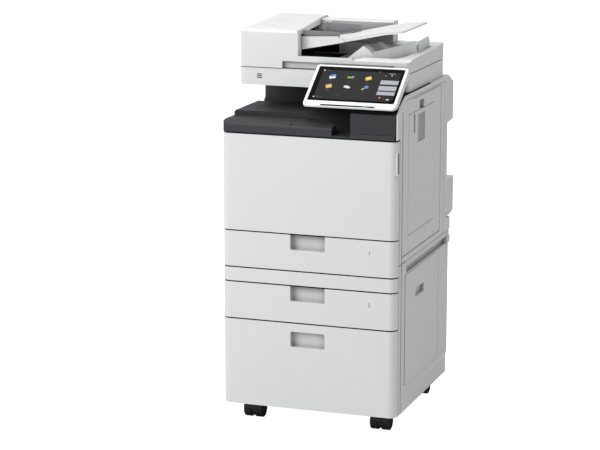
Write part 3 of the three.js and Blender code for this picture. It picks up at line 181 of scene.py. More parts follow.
def flat_frame(node):
    """Corner, across, up and outward directions of a node's largest face that looks upwards:
    face areas are summed by direction, and the corner is the face's lowest left point."""
    mesh = frame["nodes"][node].data
    normals = np.zeros(len(mesh.polygons) * 3)
    areas = np.zeros(len(mesh.polygons))
    places = np.zeros(len(mesh.vertices) * 3)
    mesh.polygons.foreach_get("normal", normals)
    mesh.polygons.foreach_get("area", areas)
    mesh.vertices.foreach_get("co", places)
    normals, places = normals.reshape(-1, 3), places.reshape(-1, 3)
    facing = np.where(normals[:, 2] > 0.1)[0]
    shares = ((normals[facing] @ normals[facing].T > 0.999) * areas[facing]).sum(axis=1)
    outward = normals[facing[shares.argmax()]]
    outward = outward / np.linalg.norm(outward)
    across = np.array([1.0, 0.0, 0.0])
    up = np.cross(outward, across)
    along = places @ np.stack([across, up, outward], axis=1)
    low = np.array([along[:, 0].min(), along[:, 1].min(), along[:, 2].max()])
    size = along.max(axis=0)[:2] - low[:2]
    return low @ np.stack([across, up, outward]), across, up, outward, size


FRONT = (np.array([1.0, 0, 0]), np.array([0, 0, 1.0]), np.array([0, -1.0, 0]))
REAR = (np.array([-1.0, 0, 0]), np.array([0, 0, 1.0]), np.array([0, 1.0, 0]))
RIGHT = (np.array([0, 1.0, 0]), np.array([0, 0, 1.0]), np.array([1.0, 0, 0]))
TOP = (np.array([1.0, 0, 0]), np.array([0, 1.0, 0]), np.array([0, 0, 1.0]))


# ------------------------------------------------------------------ surfaces

def skin(points, close_rows=False, close_columns=False, caps=False):
    """Quads between neighbouring points of a grid, with a flat face over each end row if
    caps are wanted. Returns the vertices and faces."""
    rows, columns = points.shape[:2]
    index = np.arange(rows * columns).reshape(rows, columns)
    ends = [index[0][::-1].tolist(), index[-1].tolist()] if caps else []
    if close_rows:
        index = np.vstack([index, index[:1]])
    if close_columns:
        index = np.hstack([index, index[:, :1]])
    corners = [index[:-1, :-1], index[:-1, 1:], index[1:, 1:], index[1:, :-1]]
    quads = np.stack(corners, axis=-1).reshape(-1, 4)
    return points.reshape(-1, 3), quads.tolist() + ends


def joined(shapes):
    """Several skins as one: each one's face numbers move up by the vertices before it."""
    vertices, faces, offset = [], [], 0
    for places, shape in shapes:
        vertices.append(places)
        faces += [[number + offset for number in face] for face in shape]
        offset += len(places)
    return np.vstack(vertices), faces


def rounded(width, height, corner, steps=6):
    """A rectangle about the origin whose corners are quarter circles, as a ring of points."""
    corner = min(corner, width / 2 - 1e-6, height / 2 - 1e-6)
    turns = np.linspace(0, math.pi / 2, steps + 1)
    starts = np.arange(4)[:, None] * math.pi / 2
    angles = (starts + turns[None, :]).ravel()
    signs = np.repeat([[1, 1], [-1, 1], [-1, -1], [1, -1]], steps + 1, axis=0)
    centres = signs * np.array([width / 2 - corner, height / 2 - corner])
    return centres + corner * np.stack([np.cos(angles), np.sin(angles)], axis=1)


def placed(flat, height, origin, directions):
    """Points across and up a face, and above it, turned into places in the frame."""
    across, up, outward = directions
    lift = np.broadcast_to(np.asarray(height), flat.shape[:-1])
    return origin + flat[..., :1] * across + flat[..., 1:2] * up + lift[..., None] * outward


def plate(centre, size, corner, span, directions, edge=0.0, turn=0.0):
    """A rounded rectangle carried outwards from span's low to its high value; near the top
    it draws in along a quarter circle, which rounds the edge."""
    low, high = span
    bend = np.linspace(0, math.pi / 2, 4) if edge else np.zeros(1)
    insets = np.concatenate([[0.0], edge * (1 - np.cos(bend))])
    heights = np.concatenate([[low], high - edge + edge * np.sin(bend)])
    rings = np.stack([rounded(size[0] - 2 * d, size[1] - 2 * d, max(corner - d, 1e-5))
                      for d in insets])
    if turn:
        cosine, sine = math.cos(turn), math.sin(turn)
        rings = rings @ np.array([[cosine, sine], [-sine, cosine]])
    levels = np.broadcast_to(heights[:, None], rings.shape[:2])
    return skin(placed(rings, levels, centre, directions), close_columns=True, caps=True)


def turned(profile, centre, axis, segments):
    """A profile of radius and distance along the axis, spun once round it."""
    profile = np.asarray(profile, float)
    axis = np.asarray(axis, float)
    side = np.roll(axis, 1)
    other = np.cross(axis, side)
    angles = np.linspace(0, 2 * math.pi, segments, endpoint=False)
    ring = np.cos(angles)[:, None] * side + np.sin(angles)[:, None] * other
    places = (profile[:, None, :1] * ring[None] + profile[:, None, 1:2] * axis) + centre
    return skin(places, close_columns=True)


def ringed(hub, reach, along, angles):
    """Rings about an axis from front to rear: a radius for each row and angle, and each row's
    place along the axis."""
    return skin(np.stack([
        hub[0] + reach * np.cos(angles), np.repeat(along[:, None], len(angles), axis=1),
        hub[2] + reach * np.sin(angles)], axis=-1), close_columns=True)


def screw_head(centre, directions, diameter):
    """A domed disc on a polar grid: its height falls as the square of the radius, and drops
    into a cross where either side distance is small."""
    reach = np.linspace(0, 1, 13)[:, None] * diameter / 2
    angles = np.linspace(0, 2 * math.pi, 40, endpoint=False)[None, :]
    flat = np.stack([reach * np.cos(angles), reach * np.sin(angles)], axis=-1)
    dome = 0.28 * diameter * (1 - (reach / (diameter / 2)) ** 2 * 0.55)
    dome = np.where(reach > 0.499 * diameter, 0.0, dome)
    arms = np.minimum(np.abs(flat[..., 0]), np.abs(flat[..., 1])) < 0.07 * diameter
    sunk = arms & (reach < 0.3 * diameter)
    height = np.where(sunk, dome - 0.16 * diameter, dome)
    return skin(placed(flat, height, centre, directions), close_columns=True)


# ------------------------------------------------------------------ pieces

def finished(mesh, smooth_angle):
    """Shades a mesh smooth, apart from edges sharper than the angle."""
    mesh.polygons.foreach_set("use_smooth", np.ones(len(mesh.polygons), bool))
    mesh.set_sharp_from_angle(angle=math.radians(smooth_angle))
    mesh.update()


def make_piece(name, shape, body, material, replaces=(), smooth_angle=40):
    """A new piece from vertices and faces: doubles merged, faces turned outwards."""
    vertices, faces = shape
    mesh = bpy.data.meshes.new(name)
    mesh.from_pydata(vertices, [], faces)
    work = bmesh.new()
    work.from_mesh(mesh)
    bmesh.ops.remove_doubles(work, verts=work.verts, dist=1e-7)
    bmesh.ops.recalc_face_normals(work, faces=work.faces)
    work.to_mesh(mesh)
    work.free()
    finished(mesh, smooth_angle)
    mesh.materials.append(bpy.data.materials[material])
    piece = bpy.data.objects.new(name, mesh)
    bpy.context.scene.collection.objects.link(piece)
    if replaces:
        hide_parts(*replaces)
    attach(piece, body)
    return piece


def soften(node, material, radius, segments):
    """A copy of a CAD node with its triangles merged into flat faces and its edges rounded."""
    source = frame["nodes"][node]
    mesh = source.data.copy()
    work = bmesh.new()
    work.from_mesh(mesh)
    bmesh.ops.remove_doubles(work, verts=work.verts, dist=2e-6)
    bmesh.ops.dissolve_limit(
        work, angle_limit=math.radians(0.6), use_dissolve_boundaries=False,
        verts=work.verts, edges=work.edges, delimit={"NORMAL"})
    work.to_mesh(mesh)
    work.free()
    mesh.materials.clear()
    mesh.materials.append(bpy.data.materials[material])
    finished(mesh, 30)
    piece = bpy.data.objects.new(node + "_skin", mesh)
    bpy.context.scene.collection.objects.link(piece)
    bevel = piece.modifiers.new("Soft Edges", "BEVEL")
    bevel.width = radius
    bevel.segments = segments
    bevel.limit_method = "ANGLE"
    bevel.angle_limit = math.radians(35)
    bevel.miter_outer = "MITER_SHARP"
    bevel.use_clamp_overlap = True
    flat = piece.modifiers.new("Flat Faces", "WEIGHTED_NORMAL")
    flat.keep_sharp = True
    flat.weight = 100
    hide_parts(node)
    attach(piece, body_of(node))
    return piece


# ------------------------------------------------------------------ node groups

def feed(tree, node, inputs):
    """Gives each named or numbered input of a node a value or another node's output."""
    for key, value in inputs.items():
        if isinstance(value, bpy.types.NodeSocket):
            tree.links.new(value, node.inputs[key])
        else:
            node.inputs[key].default_value = value


def add_node(tree, kind, inputs=None, **settings):
    """Adds a node with its settings and its inputs."""
    node = tree.nodes.new(kind)
    for key, value in settings.items():
        setattr(node, key, value)
    feed(tree, node, inputs or {})
    return node


def shader_group(name, inputs, outputs):
    """An empty shader group with named sockets; returns it with its given and made sockets."""
    tree = bpy.data.node_groups.new(name, "ShaderNodeTree")
    for label, kind, default in inputs:
        socket = tree.interface.new_socket(
            name=label, in_out="INPUT", socket_type="NodeSocket" + kind)
        if default is not None:
            socket.default_value = default
    for label, kind in outputs:
        tree.interface.new_socket(
            name=label, in_out="OUTPUT", socket_type="NodeSocket" + kind)
    given = tree.nodes.new("NodeGroupInput").outputs
    made = tree.nodes.new("NodeGroupOutput").inputs
    return tree, given, made


def math_node(tree, operation, first, second=0.0):
    """One sum on two numbers or sockets."""
    return add_node(tree, "ShaderNodeMath", {0: first, 1: second}, operation=operation).outputs[0]


def build_grain_group():
    """Mould texture: fine noise, with shallow round pits taken from it."""
    tree, given, made = shader_group(
        "Moulded Grain",
        [("Vector", "Vector", None), ("Pitch", "Float", 0.001), ("Pits", "Float", 0.4)],
        [("Height", "Float")])
    scale = math_node(tree, "DIVIDE", 1.0, given["Pitch"])
    noise = add_node(tree, "ShaderNodeTexNoise", {
        "Vector": given["Vector"], "Scale": scale, "Detail": 3.0, "Roughness": 0.62})
    cells = add_node(tree, "ShaderNodeTexVoronoi", {
        "Vector": given["Vector"], "Scale": scale, "Smoothness": 0.6}, feature="SMOOTH_F1")
    pits = math_node(tree, "MULTIPLY", cells.outputs["Distance"], given["Pits"])
    tree.links.new(math_node(tree, "SUBTRACT", noise.outputs["Fac"], pits), made["Height"])


def build_drift_group():
    """Slow change of tone over a moulding, from broad noise and from faint flow streaks."""
    tree, given, made = shader_group(
        "Tone Drift",
        [("Vector", "Vector", None), ("Colour", "Color", (1, 1, 1, 1)),
         ("Spread", "Float", 0.04), ("Patch", "Float", 0.15)],
        [("Colour", "Color"), ("Drift", "Float")])
    scale = math_node(tree, "DIVIDE", 1.0, given["Patch"])
    broad = add_node(tree, "ShaderNodeTexNoise", {
        "Vector": given["Vector"], "Scale": scale, "Detail": 2.0})
    stretch = add_node(tree, "ShaderNodeMapping", {
        "Vector": given["Vector"], "Scale": (3.0, 3.0, 0.35)})
    streak = add_node(tree, "ShaderNodeTexNoise", {
        "Vector": stretch.outputs[0], "Scale": 14.0, "Detail": 3.0})
    both = math_node(tree, "ADD", broad.outputs["Fac"], streak.outputs["Fac"])
    drift = math_node(tree, "SUBTRACT", both, 1.0)
    value = math_node(tree, "MULTIPLY_ADD", drift, given["Spread"])
    value.node.inputs[2].default_value = 1.0
    shift = add_node(tree, "ShaderNodeHueSaturation", {
        "Color": given["Colour"], "Value": value})
    tree.links.new(shift.outputs["Color"], made["Colour"])
    tree.links.new(drift, made["Drift"])


def build_highlight_and_scuff_group():
    """Edges lightened as a painted highlight and as handling scuffs: where a rounded normal
    leaves the true one, broken up by noise.
    """
    tree, given, made = shader_group(
        "Edge Highlight And Scuffs",
        [("Vector", "Vector", None), ("Colour", "Color", (1, 1, 1, 1)),
         ("Highlight And Scuff Colour", "Color", (1, 1, 1, 1)), ("Reach", "Float", 0.0015),
         ("Amount", "Float", 0.3)],
        [("Colour", "Color"), ("Mask", "Float")])
    soft = add_node(tree, "ShaderNodeBevel", {"Radius": given["Reach"]}, samples=4)
    true = add_node(tree, "ShaderNodeNewGeometry")
    match = add_node(tree, "ShaderNodeVectorMath", {
        0: soft.outputs["Normal"], 1: true.outputs["Normal"]}, operation="DOT_PRODUCT")
    edge = add_node(tree, "ShaderNodeMapRange", {
        "Value": match.outputs["Value"], "From Min": 0.99, "From Max": 0.8})
    noise = add_node(tree, "ShaderNodeTexNoise", {
        "Vector": given["Vector"], "Scale": 90.0, "Detail": 4.0})
    broken = add_node(tree, "ShaderNodeMapRange", {
        "Value": noise.outputs["Fac"], "From Min": 0.35, "From Max": 0.7})
    mask = math_node(tree, "MULTIPLY", edge.outputs[0], broken.outputs[0])
    mask = math_node(tree, "MULTIPLY", mask, given["Amount"])
    mix = add_node(tree, "ShaderNodeMix", data_type="RGBA")
    # Inputs by number, because the colour sockets share their names with the other kinds
    feed(tree, mix, {0: mask, 6: given["Colour"], 7: given["Highlight And Scuff Colour"]})
    tree.links.new(mix.outputs[2], made["Colour"])
    tree.links.new(mask, made["Mask"])


def build_recess_group():
    """Painted shade in hollows: a colour darkens where nearby faces close it in, as shade would
    fall there.
    """
    tree, given, made = shader_group(
        "Recess Painted Shade",
        [("Colour", "Color", (1, 1, 1, 1)), ("Reach", "Float", 0.02), ("Amount", "Float", 0.5)],
        [("Colour", "Color")])
    near = add_node(tree, "ShaderNodeAmbientOcclusion", {"Distance": given["Reach"]}, samples=6)
    closed = math_node(tree, "SUBTRACT", 1.0, near.outputs["AO"])
    loss = math_node(tree, "MULTIPLY", closed, given["Amount"])
    value = math_node(tree, "SUBTRACT", 1.0, loss)
    shade = add_node(tree, "ShaderNodeHueSaturation", {"Color": given["Colour"], "Value": value})
    tree.links.new(shade.outputs["Color"], made["Colour"])


def build_dust_group():
    """Settled dust: on faces that look up, in uneven patches."""
    tree, given, made = shader_group(
        "Settled Dust", [("Vector", "Vector", None), ("Amount", "Float", 0.15)],
        [("Mask", "Float")])
    true = add_node(tree, "ShaderNodeNewGeometry")
    parts = add_node(tree, "ShaderNodeSeparateXYZ", {"Vector": true.outputs["Normal"]})
    up = add_node(tree, "ShaderNodeMapRange", {
        "Value": parts.outputs["Z"], "From Min": 0.6, "From Max": 1.0})
    noise = add_node(tree, "ShaderNodeTexNoise", {
        "Vector": given["Vector"], "Scale": 26.0, "Detail": 5.0, "Roughness": 0.7})
    patch = add_node(tree, "ShaderNodeMapRange", {
        "Value": noise.outputs["Fac"], "From Min": 0.4, "From Max": 0.75})
    mask = math_node(tree, "MULTIPLY", up.outputs[0], patch.outputs[0])
    tree.links.new(math_node(tree, "MULTIPLY", mask, given["Amount"]), made["Mask"])


GROUP_BUILDERS = (build_grain_group, build_drift_group, build_highlight_and_scuff_group,
                  build_recess_group, build_dust_group)


# ------------------------------------------------------------------ materials

def new_material(name, display):
    """An empty material with its tree, Principled shader and Object coordinates."""
    material = bpy.data.materials.new(name)
    material.use_nodes = True
    material.diffuse_color = (*display, 1.0)
    tree = material.node_tree
    tree.nodes.clear()
    shader = add_node(tree, "ShaderNodeBsdfPrincipled")
    out = add_node(tree, "ShaderNodeOutputMaterial")
    tree.links.new(shader.outputs[0], out.inputs["Surface"])
    vector = add_node(tree, "ShaderNodeTexCoord").outputs["Object"]
    return material, tree, shader, vector


def group_node(tree, name, inputs):
    """One of the shared groups, placed in a material."""
    node = add_node(tree, "ShaderNodeGroup", node_tree=bpy.data.node_groups[name])
    feed(tree, node, inputs)
    return node


def moulded(name, colour, roughness, pitch=1.1 * MM, relief=0.06 * MM, spread=0.03,
            highlight_and_scuff_colour=None, highlight_and_scuff=0.25, dust=0.12, specular=0.5, painted_shade=0.75):
    """Moulded plastic: slow tone drift, edges lightened as painted highlight and scuffs, painted
    shade in hollows, settled dust and a fine mould grain.
    """
    material, tree, shader, vector = new_material(name, colour)
    # The edge colour is lighter than the body: a painted highlight along the edges, together with
    # handling scuffs
    highlight_and_scuff_colour = highlight_and_scuff_colour or tuple(min(1.0, value * 1.12 + 0.01) for value in colour)
    drift = group_node(tree, "Tone Drift", {
        "Vector": vector, "Colour": (*colour, 1), "Spread": spread, "Patch": 0.18})
    edge = group_node(tree, "Edge Highlight And Scuffs", {
        "Vector": vector, "Colour": drift.outputs["Colour"], "Highlight And Scuff Colour": (*highlight_and_scuff_colour, 1),
        "Reach": 1.2 * MM, "Amount": highlight_and_scuff})
    # Painted shade: the colour darkens in hollows, seams and pockets wherever ambient occlusion
    # finds nearby faces
    shaded = group_node(tree, "Recess Painted Shade", {
        "Colour": edge.outputs["Colour"], "Reach": 28 * MM, "Amount": painted_shade})
    settled = group_node(tree, "Settled Dust", {"Vector": vector, "Amount": dust})
    rough = add_node(tree, "ShaderNodeMapRange", {
        "Value": drift.outputs["Drift"], "From Min": -0.5, "From Max": 0.5,
        "To Min": roughness - 0.05, "To Max": roughness + 0.05})
    rough = math_node(tree, "ADD", rough.outputs[0], settled.outputs["Mask"])
    grain = group_node(tree, "Moulded Grain", {"Vector": vector, "Pitch": pitch, "Pits": 0.4})
    bump = add_node(tree, "ShaderNodeBump", {
        "Strength": 0.6, "Distance": relief, "Height": grain.outputs["Height"]})
    feed(tree, shader, {
        "Base Color": shaded.outputs["Colour"], "Roughness": rough,
        "Normal": bump.outputs["Normal"], "Specular IOR Level": specular})
    return material


def zinc(name, colour):
    """Zinc-plated sheet: crystal patches from cells, with fine rolling lines."""
    material, tree, shader, vector = new_material(name, colour)
    cells = add_node(tree, "ShaderNodeTexVoronoi", {
        "Vector": vector, "Scale": 95.0, "Randomness": 1.0})
    patch = add_node(tree, "ShaderNodeSeparateColor", {"Color": cells.outputs["Color"]})
    drift = group_node(tree, "Tone Drift", {
        "Vector": vector, "Colour": (*colour, 1), "Spread": 0.12, "Patch": 0.05})
    rough = add_node(tree, "ShaderNodeMapRange", {
        "Value": patch.outputs[0], "To Min": 0.3, "To Max": 0.48})
    lines = add_node(tree, "ShaderNodeMapping", {"Vector": vector, "Scale": (40, 900, 900)})
    rolled = add_node(tree, "ShaderNodeTexNoise", {
        "Vector": lines.outputs[0], "Scale": 1.0, "Detail": 2.0})
    bump = add_node(tree, "ShaderNodeBump", {
        "Strength": 0.35, "Distance": 0.03 * MM, "Height": rolled.outputs["Fac"]})
    feed(tree, shader, {
        "Base Color": drift.outputs["Colour"], "Roughness": rough.outputs[0],
        "Normal": bump.outputs["Normal"], "Metallic": 1.0})
    return material


def rubber(name, colour):
    """Ground rubber: matt, with fine scuffs and a lighter bloom in patches."""
    bloom = tuple(min(1.0, value * 2.2 + 0.02) for value in colour)
    return moulded(name, colour, 0.72, pitch=0.7 * MM, relief=0.12 * MM, spread=0.16,
                   highlight_and_scuff_colour=bloom, highlight_and_scuff=0.5, dust=0.1, specular=0.3)


def dark_glass(name, colour):
    """Gloss glass over a black print, with faint finger smears in the gloss."""
    material, tree, shader, vector = new_material(name, colour)
    smear = add_node(tree, "ShaderNodeTexNoise", {
        "Vector": vector, "Scale": 38.0, "Detail": 4.0, "Distortion": 1.6})
    rough = add_node(tree, "ShaderNodeMapRange", {
        "Value": smear.outputs["Fac"], "From Min": 0.45, "From Max": 0.8,
        "To Min": 0.06, "To Max": 0.2})
    drift = group_node(tree, "Tone Drift", {
        "Vector": vector, "Colour": (*colour, 1), "Spread": 0.1, "Patch": 0.05})
    feed(tree, shader, {
        "Base Color": drift.outputs["Colour"], "Roughness": rough.outputs[0],
        "Specular IOR Level": 0.03})
    return material


def clear_glass(name, colour):
    """The platen's clear glass, faintly green, with light smears."""
    material, tree, shader, vector = new_material(name, colour)
    smear = add_node(tree, "ShaderNodeTexNoise", {"Vector": vector, "Scale": 30.0, "Detail": 5.0})
    rough = add_node(tree, "ShaderNodeMapRange", {
        "Value": smear.outputs["Fac"], "To Min": 0.01, "To Max": 0.07})
    feed(tree, shader, {
        "Roughness": rough.outputs[0], "Base Color": (*colour, 1), "Transmission Weight": 0.9,
        "IOR": 1.5})
    return material


def lit(name, colour):
    """A lit patch on the screen or a lamp, whose brightness drifts a little."""
    material, tree, shader, vector = new_material(name, colour)
    drift = group_node(tree, "Tone Drift", {
        "Vector": vector, "Colour": (*colour, 1), "Spread": 0.1, "Patch": 0.02})
    feed(tree, shader, {
        "Emission Color": drift.outputs["Colour"], "Emission Strength": 1.0,
        "Base Color": (0.004, 0.004, 0.004, 1), "Roughness": 0.3, "Specular IOR Level": 0.1})
    return material


SCREEN_COLOURS = {
    "screen_field": tone(40, 38, 38), "screen_column": tone(30, 30, 33),
    "screen_blue": tone(96, 152, 214), "screen_white": tone(236, 238, 240),
    "screen_green": tone(120, 196, 44), "screen_grey": tone(150, 152, 154),
    "screen_yellow": tone(224, 200, 70), "screen_amber": tone(226, 186, 92),
    "screen_cream": tone(230, 230, 214), "screen_dim": tone(92, 92, 96),
    "screen_box": tone(184, 186, 194), "screen_orange": tone(214, 140, 84),
}
TONER_COLOURS = {
    "yellow": tone(232, 200, 40), "magenta": tone(200, 44, 110),
    "cyan": tone(40, 150, 200), "black": tone(38, 38, 40),
}

CORNERS = ("front_left", "front_right", "rear_left", "rear_right")

# Finish of each CAD node that keeps its own mesh
PLAIN_NODES = {
    "base_plate": "zinc", "deck_plate": "zinc", "laser_unit": "zinc",
    "drawer_1_lift_plate": "zinc", "drawer_2_lift_plate": "zinc",
    "storage_drawer_tray": "tray", "drawer_1_tray": "tray", "drawer_2_tray": "tray",
    "transfer_unit": "tray", "fixing_unit": "fixing", "power_switch": "black",
    "platen_glass": "clear_glass", "scan_carriage": "black", "document_pad": "pad",
    "main_right_cover": "side",
}
# CAD nodes that get rounded edges: finish, slot, share of the edge radius and the nodes
SOFT_NODES = (
    ("white", "white_cover", 1.0, (
        "front_strip", "storage_drawer_front", "drawer_2_front", "drawer_1_front", "front_door",
        "reader_housing", "feeder_base", "feeder_cover", "feeder_rear_wall", "document_tray")),
    ("guide", "white_cover", 0.6, ("document_guide_front", "document_guide_rear")),
    ("white", "white_cover", 0.6, ("stopper_tab",)),
    ("panel_white", "white_cover", 2.6, ("operation_panel",)),
    ("side", "side_cover", 1.0, (
        "cabinet_left_cover", "cabinet_right_cover", "cabinet_rear_cover", "lower_right_door",
        "main_left_cover", "main_rear_cover")),
    ("side", "side_cover", 1.4, ("rear_lower_cover", "rear_upper_cover")),
    ("side", "side_cover", 1.0, ("right_door",)),
    ("side", "side_cover", 0.6, ("bypass_tray",)),
    ("black", "black_cover", 1.0, ("exit_tray", "panel_stand")),
    ("black", "black_cover", 0.6, ("ac_inlet",)),
    ("tray", "white_cover", 0.8, ("inner_front_panel",)),
    ("black", "black_cover", 0.5, ("exhaust_fan",)),
    ("black", "black_cover", 1.0, tuple("caster_hood_" + corner for corner in CORNERS)),
)


class COPIER_OT_finishes(bpy.types.Operator):
    """Build the shared node groups and every finish, and give the CAD nodes theirs"""

    bl_idname = "copier.finishes"
    bl_label = "Finishes"

    def execute(self, context):
        colours = context.scene.copier_colours
        for build in GROUP_BUILDERS:
            build()
        white, side, black = tuple(colours.white), tuple(colours.side), tuple(colours.black)
        moulded("white", white, 0.42)
        moulded("panel_white", tone(246, 247, 247), 0.3, relief=0.02 * MM)
        # Side covers: the front white made a little darker, as painted shade
        moulded("side", side, 0.46)
        moulded("black", black, 0.5, spread=0.08, relief=0.08 * MM, highlight_and_scuff=0.4, specular=0.35)
        moulded("tray", tuple(colours.tray), 0.5)
        moulded("fixing", tone(190, 120, 60), 0.5)
        moulded("pad", tone(240, 240, 238), 0.8, pitch=2 * MM, relief=0.1 * MM, specular=0.2)
        moulded("figure", tone(70, 72, 76), 0.6, relief=0.01 * MM, highlight_and_scuff=0.0)
        # The near-white edges on the grey guides are a painted highlight, as light catching their
        # top edges
        moulded("guide", tone(136, 138, 140), 0.4, highlight_and_scuff_colour=tone(240, 240, 240), highlight_and_scuff=0.9)
        # Grey finish for the liner on the rear wall's front face: painted shade
        moulded("wall_grey", tone(178, 180, 180), 0.5)
        # Near-black finish for strips set where only shade falls: painted shade in the seams and
        # painted shadow in the feeder's throat
        moulded("seal", tone(20, 20, 22), 0.7, specular=0.15)
        rubber("rubber", tuple(colours.rubber))
        rubber("wheel", tone(46, 46, 49))
        zinc("zinc", tuple(colours.metal))
        dark_glass("panel_glass", tone(4, 4, 5))
        clear_glass("clear_glass", (0.86, 0.93, 0.9))
        lit("lamp", tuple(colours.lamp))
        for name, colour in SCREEN_COLOURS.items():
            lit(name, colour)
        for name, colour in TONER_COLOURS.items():
            moulded("toner_" + name, colour, 0.4, spread=0.06)
        for node, finish in PLAIN_NODES.items():
            for slot in frame["nodes"][node].material_slots:
                slot.material = bpy.data.materials[finish]
        return {"FINISHED"}


class COPIER_OT_covers(bpy.types.Operator):
    """Stand soft-edged copies in for the moulded covers, trays and doors"""

    bl_idname = "copier.covers"
    bl_label = "Soft Covers"

    def execute(self, context):
        sizes = context.scene.copier_sizes
        for finish, slot, share, nodes in SOFT_NODES:
            for node in nodes:
                soften(node, finish, share * sizes.edge_radius, sizes.edge_segments)
        return {"FINISHED"}


class COPIER_OT_seam_shadows(bpy.types.Operator):
    """Lay black strips along the top edges of the front panels: painted shade in the seams
    between them
    """

    bl_idname = "copier.seals"
    bl_label = "Seam Shadows"

    def execute(self, context):
        thickness = context.scene.copier_sizes.seam_shadow_thickness
        depth, front_gap, end_gap = 14 * MM, 2 * MM, 12 * MM
        for node in ("storage_drawer_front", "drawer_2_front", "front_strip", "drawer_1_front"):
            low, high = spot(node)
            width = high[0] - low[0] - 2 * end_gap
            centre = np.array([(low[0] + high[0]) / 2, low[1] + front_gap + depth / 2, high[2]])
            # A near-black strip in the seam above each panel: painted shade where the seam's
            # depth lies in shadow
            strip = plate(centre, (width, depth), 1 * MM,
                          (-0.4 * MM, thickness), TOP)
            make_piece(node + "_seam_shadow", strip, body_of(node), "seal")
        return {"FINISHED"}


# ------------------------------------------------------------------ casters

def wheel_profile(radius, width, rounding):
    """Half section of one wheel: hub face, dished web, rim lip and a tread with round
    shoulders, from its outer face to its inner one."""
    bend = np.linspace(0, math.pi / 2, 7)
    hub = [[0.0, width - 1.5 * MM], [5 * MM, width - 1.5 * MM], [5.6 * MM, width - 3.5 * MM],
           [radius - 8 * MM, width - 4.2 * MM], [radius - 6.6 * MM, width - 0.6 * MM],
           [radius - 5.2 * MM, width]]
    outer = np.stack([radius - rounding + rounding * np.sin(bend),
                      width - rounding + rounding * np.cos(bend)], axis=1)
    tread = [[radius, width * 0.62], [radius - 0.35 * MM, width * 0.58],
             [radius - 0.35 * MM, width * 0.42], [radius, width * 0.38]]
    inner = np.stack([radius - rounding * (1 - np.cos(bend)), rounding * (1 - np.sin(bend))],
                     axis=1)
    return np.vstack([hub, outer, tread, inner, [[radius - 6 * MM, 0.0], [0.0, 0.0]]])


class COPIER_OT_casters(bpy.types.Operator):
    """Turn the twin caster wheels, with dished webs, rim lips and a parted tread"""

    bl_idname = "copier.casters"
    bl_label = "Casters"

    def execute(self, context):
        sizes = context.scene.copier_sizes
        for corner in CORNERS:
            low, high = spot("caster_wheels_" + corner)
            centre = (low + high) / 2
            radius = (high[2] - low[2]) / 2
            gap = 8 * MM
            width = (high[0] - low[0]) / 2 - gap / 2
            shapes = []
            for way in (-1, 1):
                profile = wheel_profile(radius, width, sizes.wheel_rounding)
                profile[:, 1] = way * (profile[:, 1] + gap / 2)
                shapes.append(turned(profile, centre, (1, 0, 0), sizes.round_segments))
            axle = [[0.0, -gap], [3.5 * MM, -gap], [3.5 * MM, gap], [0.0, gap]]
            shapes.append(turned(axle, centre, (1, 0, 0), 24))
            make_piece("caster_wheels_" + corner + "_turned", joined(shapes),
                       "wheels_" + corner, "wheel",
                       replaces=("caster_wheels_" + corner,))
        return {"FINISHED"}


# ------------------------------------------------------------------ touch panel

# Icon places as shares of the glass, each with its shapes: offset, size, corner and turn as
# shares of the icon size, then the finish
ICONS = (
    (0.193, 0.715, (((0.0, -0.12), (0.84, 0.56), 0.12, 14, "screen_white"),
                    ((0.06, 0.2), (0.72, 0.4), 0.16, 14, "screen_blue"))),
    (0.403, 0.710, (((-0.14, 0.0), (0.6, 0.34), 0.1, 0, "screen_green"),
                    ((0.3, 0.06), (0.3, 0.52), 0.14, -14, "screen_grey"))),
    (0.613, 0.705, (((0.0, 0.0), (0.84, 0.66), 0.12, 22, "screen_yellow"),
                    ((0.04, 0.04), (0.4, 0.28), 0.1, 22, "screen_cream"))),
    (0.189, 0.428, (((0.0, 0.0), (0.8, 0.7), 0.1, 20, "screen_amber"),
                    ((0.02, 0.02), (0.5, 0.14), 0.06, 20, "screen_cream"))),
    (0.400, 0.430, (((-0.12, 0.04), (0.66, 0.44), 0.2, 0, "screen_cream"),
                    ((0.2, -0.1), (0.5, 0.36), 0.16, 8, "screen_white"))),
    (0.612, 0.430, (((0.14, 0.12), (0.58, 0.56), 0.26, 0, "screen_blue"),
                    ((-0.26, -0.26), (0.42, 0.22), 0.08, 32, "screen_yellow"))),
)
# Flat marks on the screen: place and size as shares of the glass, and the finish
SCREEN_MARKS = (
    (0.874, 0.500, 0.190, 0.800, "screen_column"),
    (0.868, 0.612, 0.205, 0.118, "screen_box"), (0.868, 0.440, 0.205, 0.130, "screen_box"),
    (0.868, 0.292, 0.205, 0.098, "screen_box"), (0.075, 0.885, 0.018, 0.030, "screen_white"),
    (0.130, 0.885, 0.040, 0.014, "screen_dim"), (0.720, 0.905, 0.012, 0.022, "screen_grey"),
    (0.800, 0.800, 0.022, 0.060, "screen_dim"), (0.865, 0.870, 0.075, 0.020, "screen_grey"),
    (0.870, 0.815, 0.014, 0.022, "screen_white"), (0.905, 0.815, 0.030, 0.010, "screen_dim"),
    (0.060, 0.105, 0.016, 0.026, "screen_white"), (0.130, 0.100, 0.075, 0.012, "screen_dim"),
    (0.330, 0.190, 0.034, 0.012, "screen_dim"), (0.540, 0.180, 0.026, 0.012, "screen_dim"),
    (0.815, 0.165, 0.022, 0.042, "screen_orange"), (0.855, 0.165, 0.018, 0.016, "screen_dim"),
    (0.912, 0.120, 0.034, 0.026, "screen_white"),
)


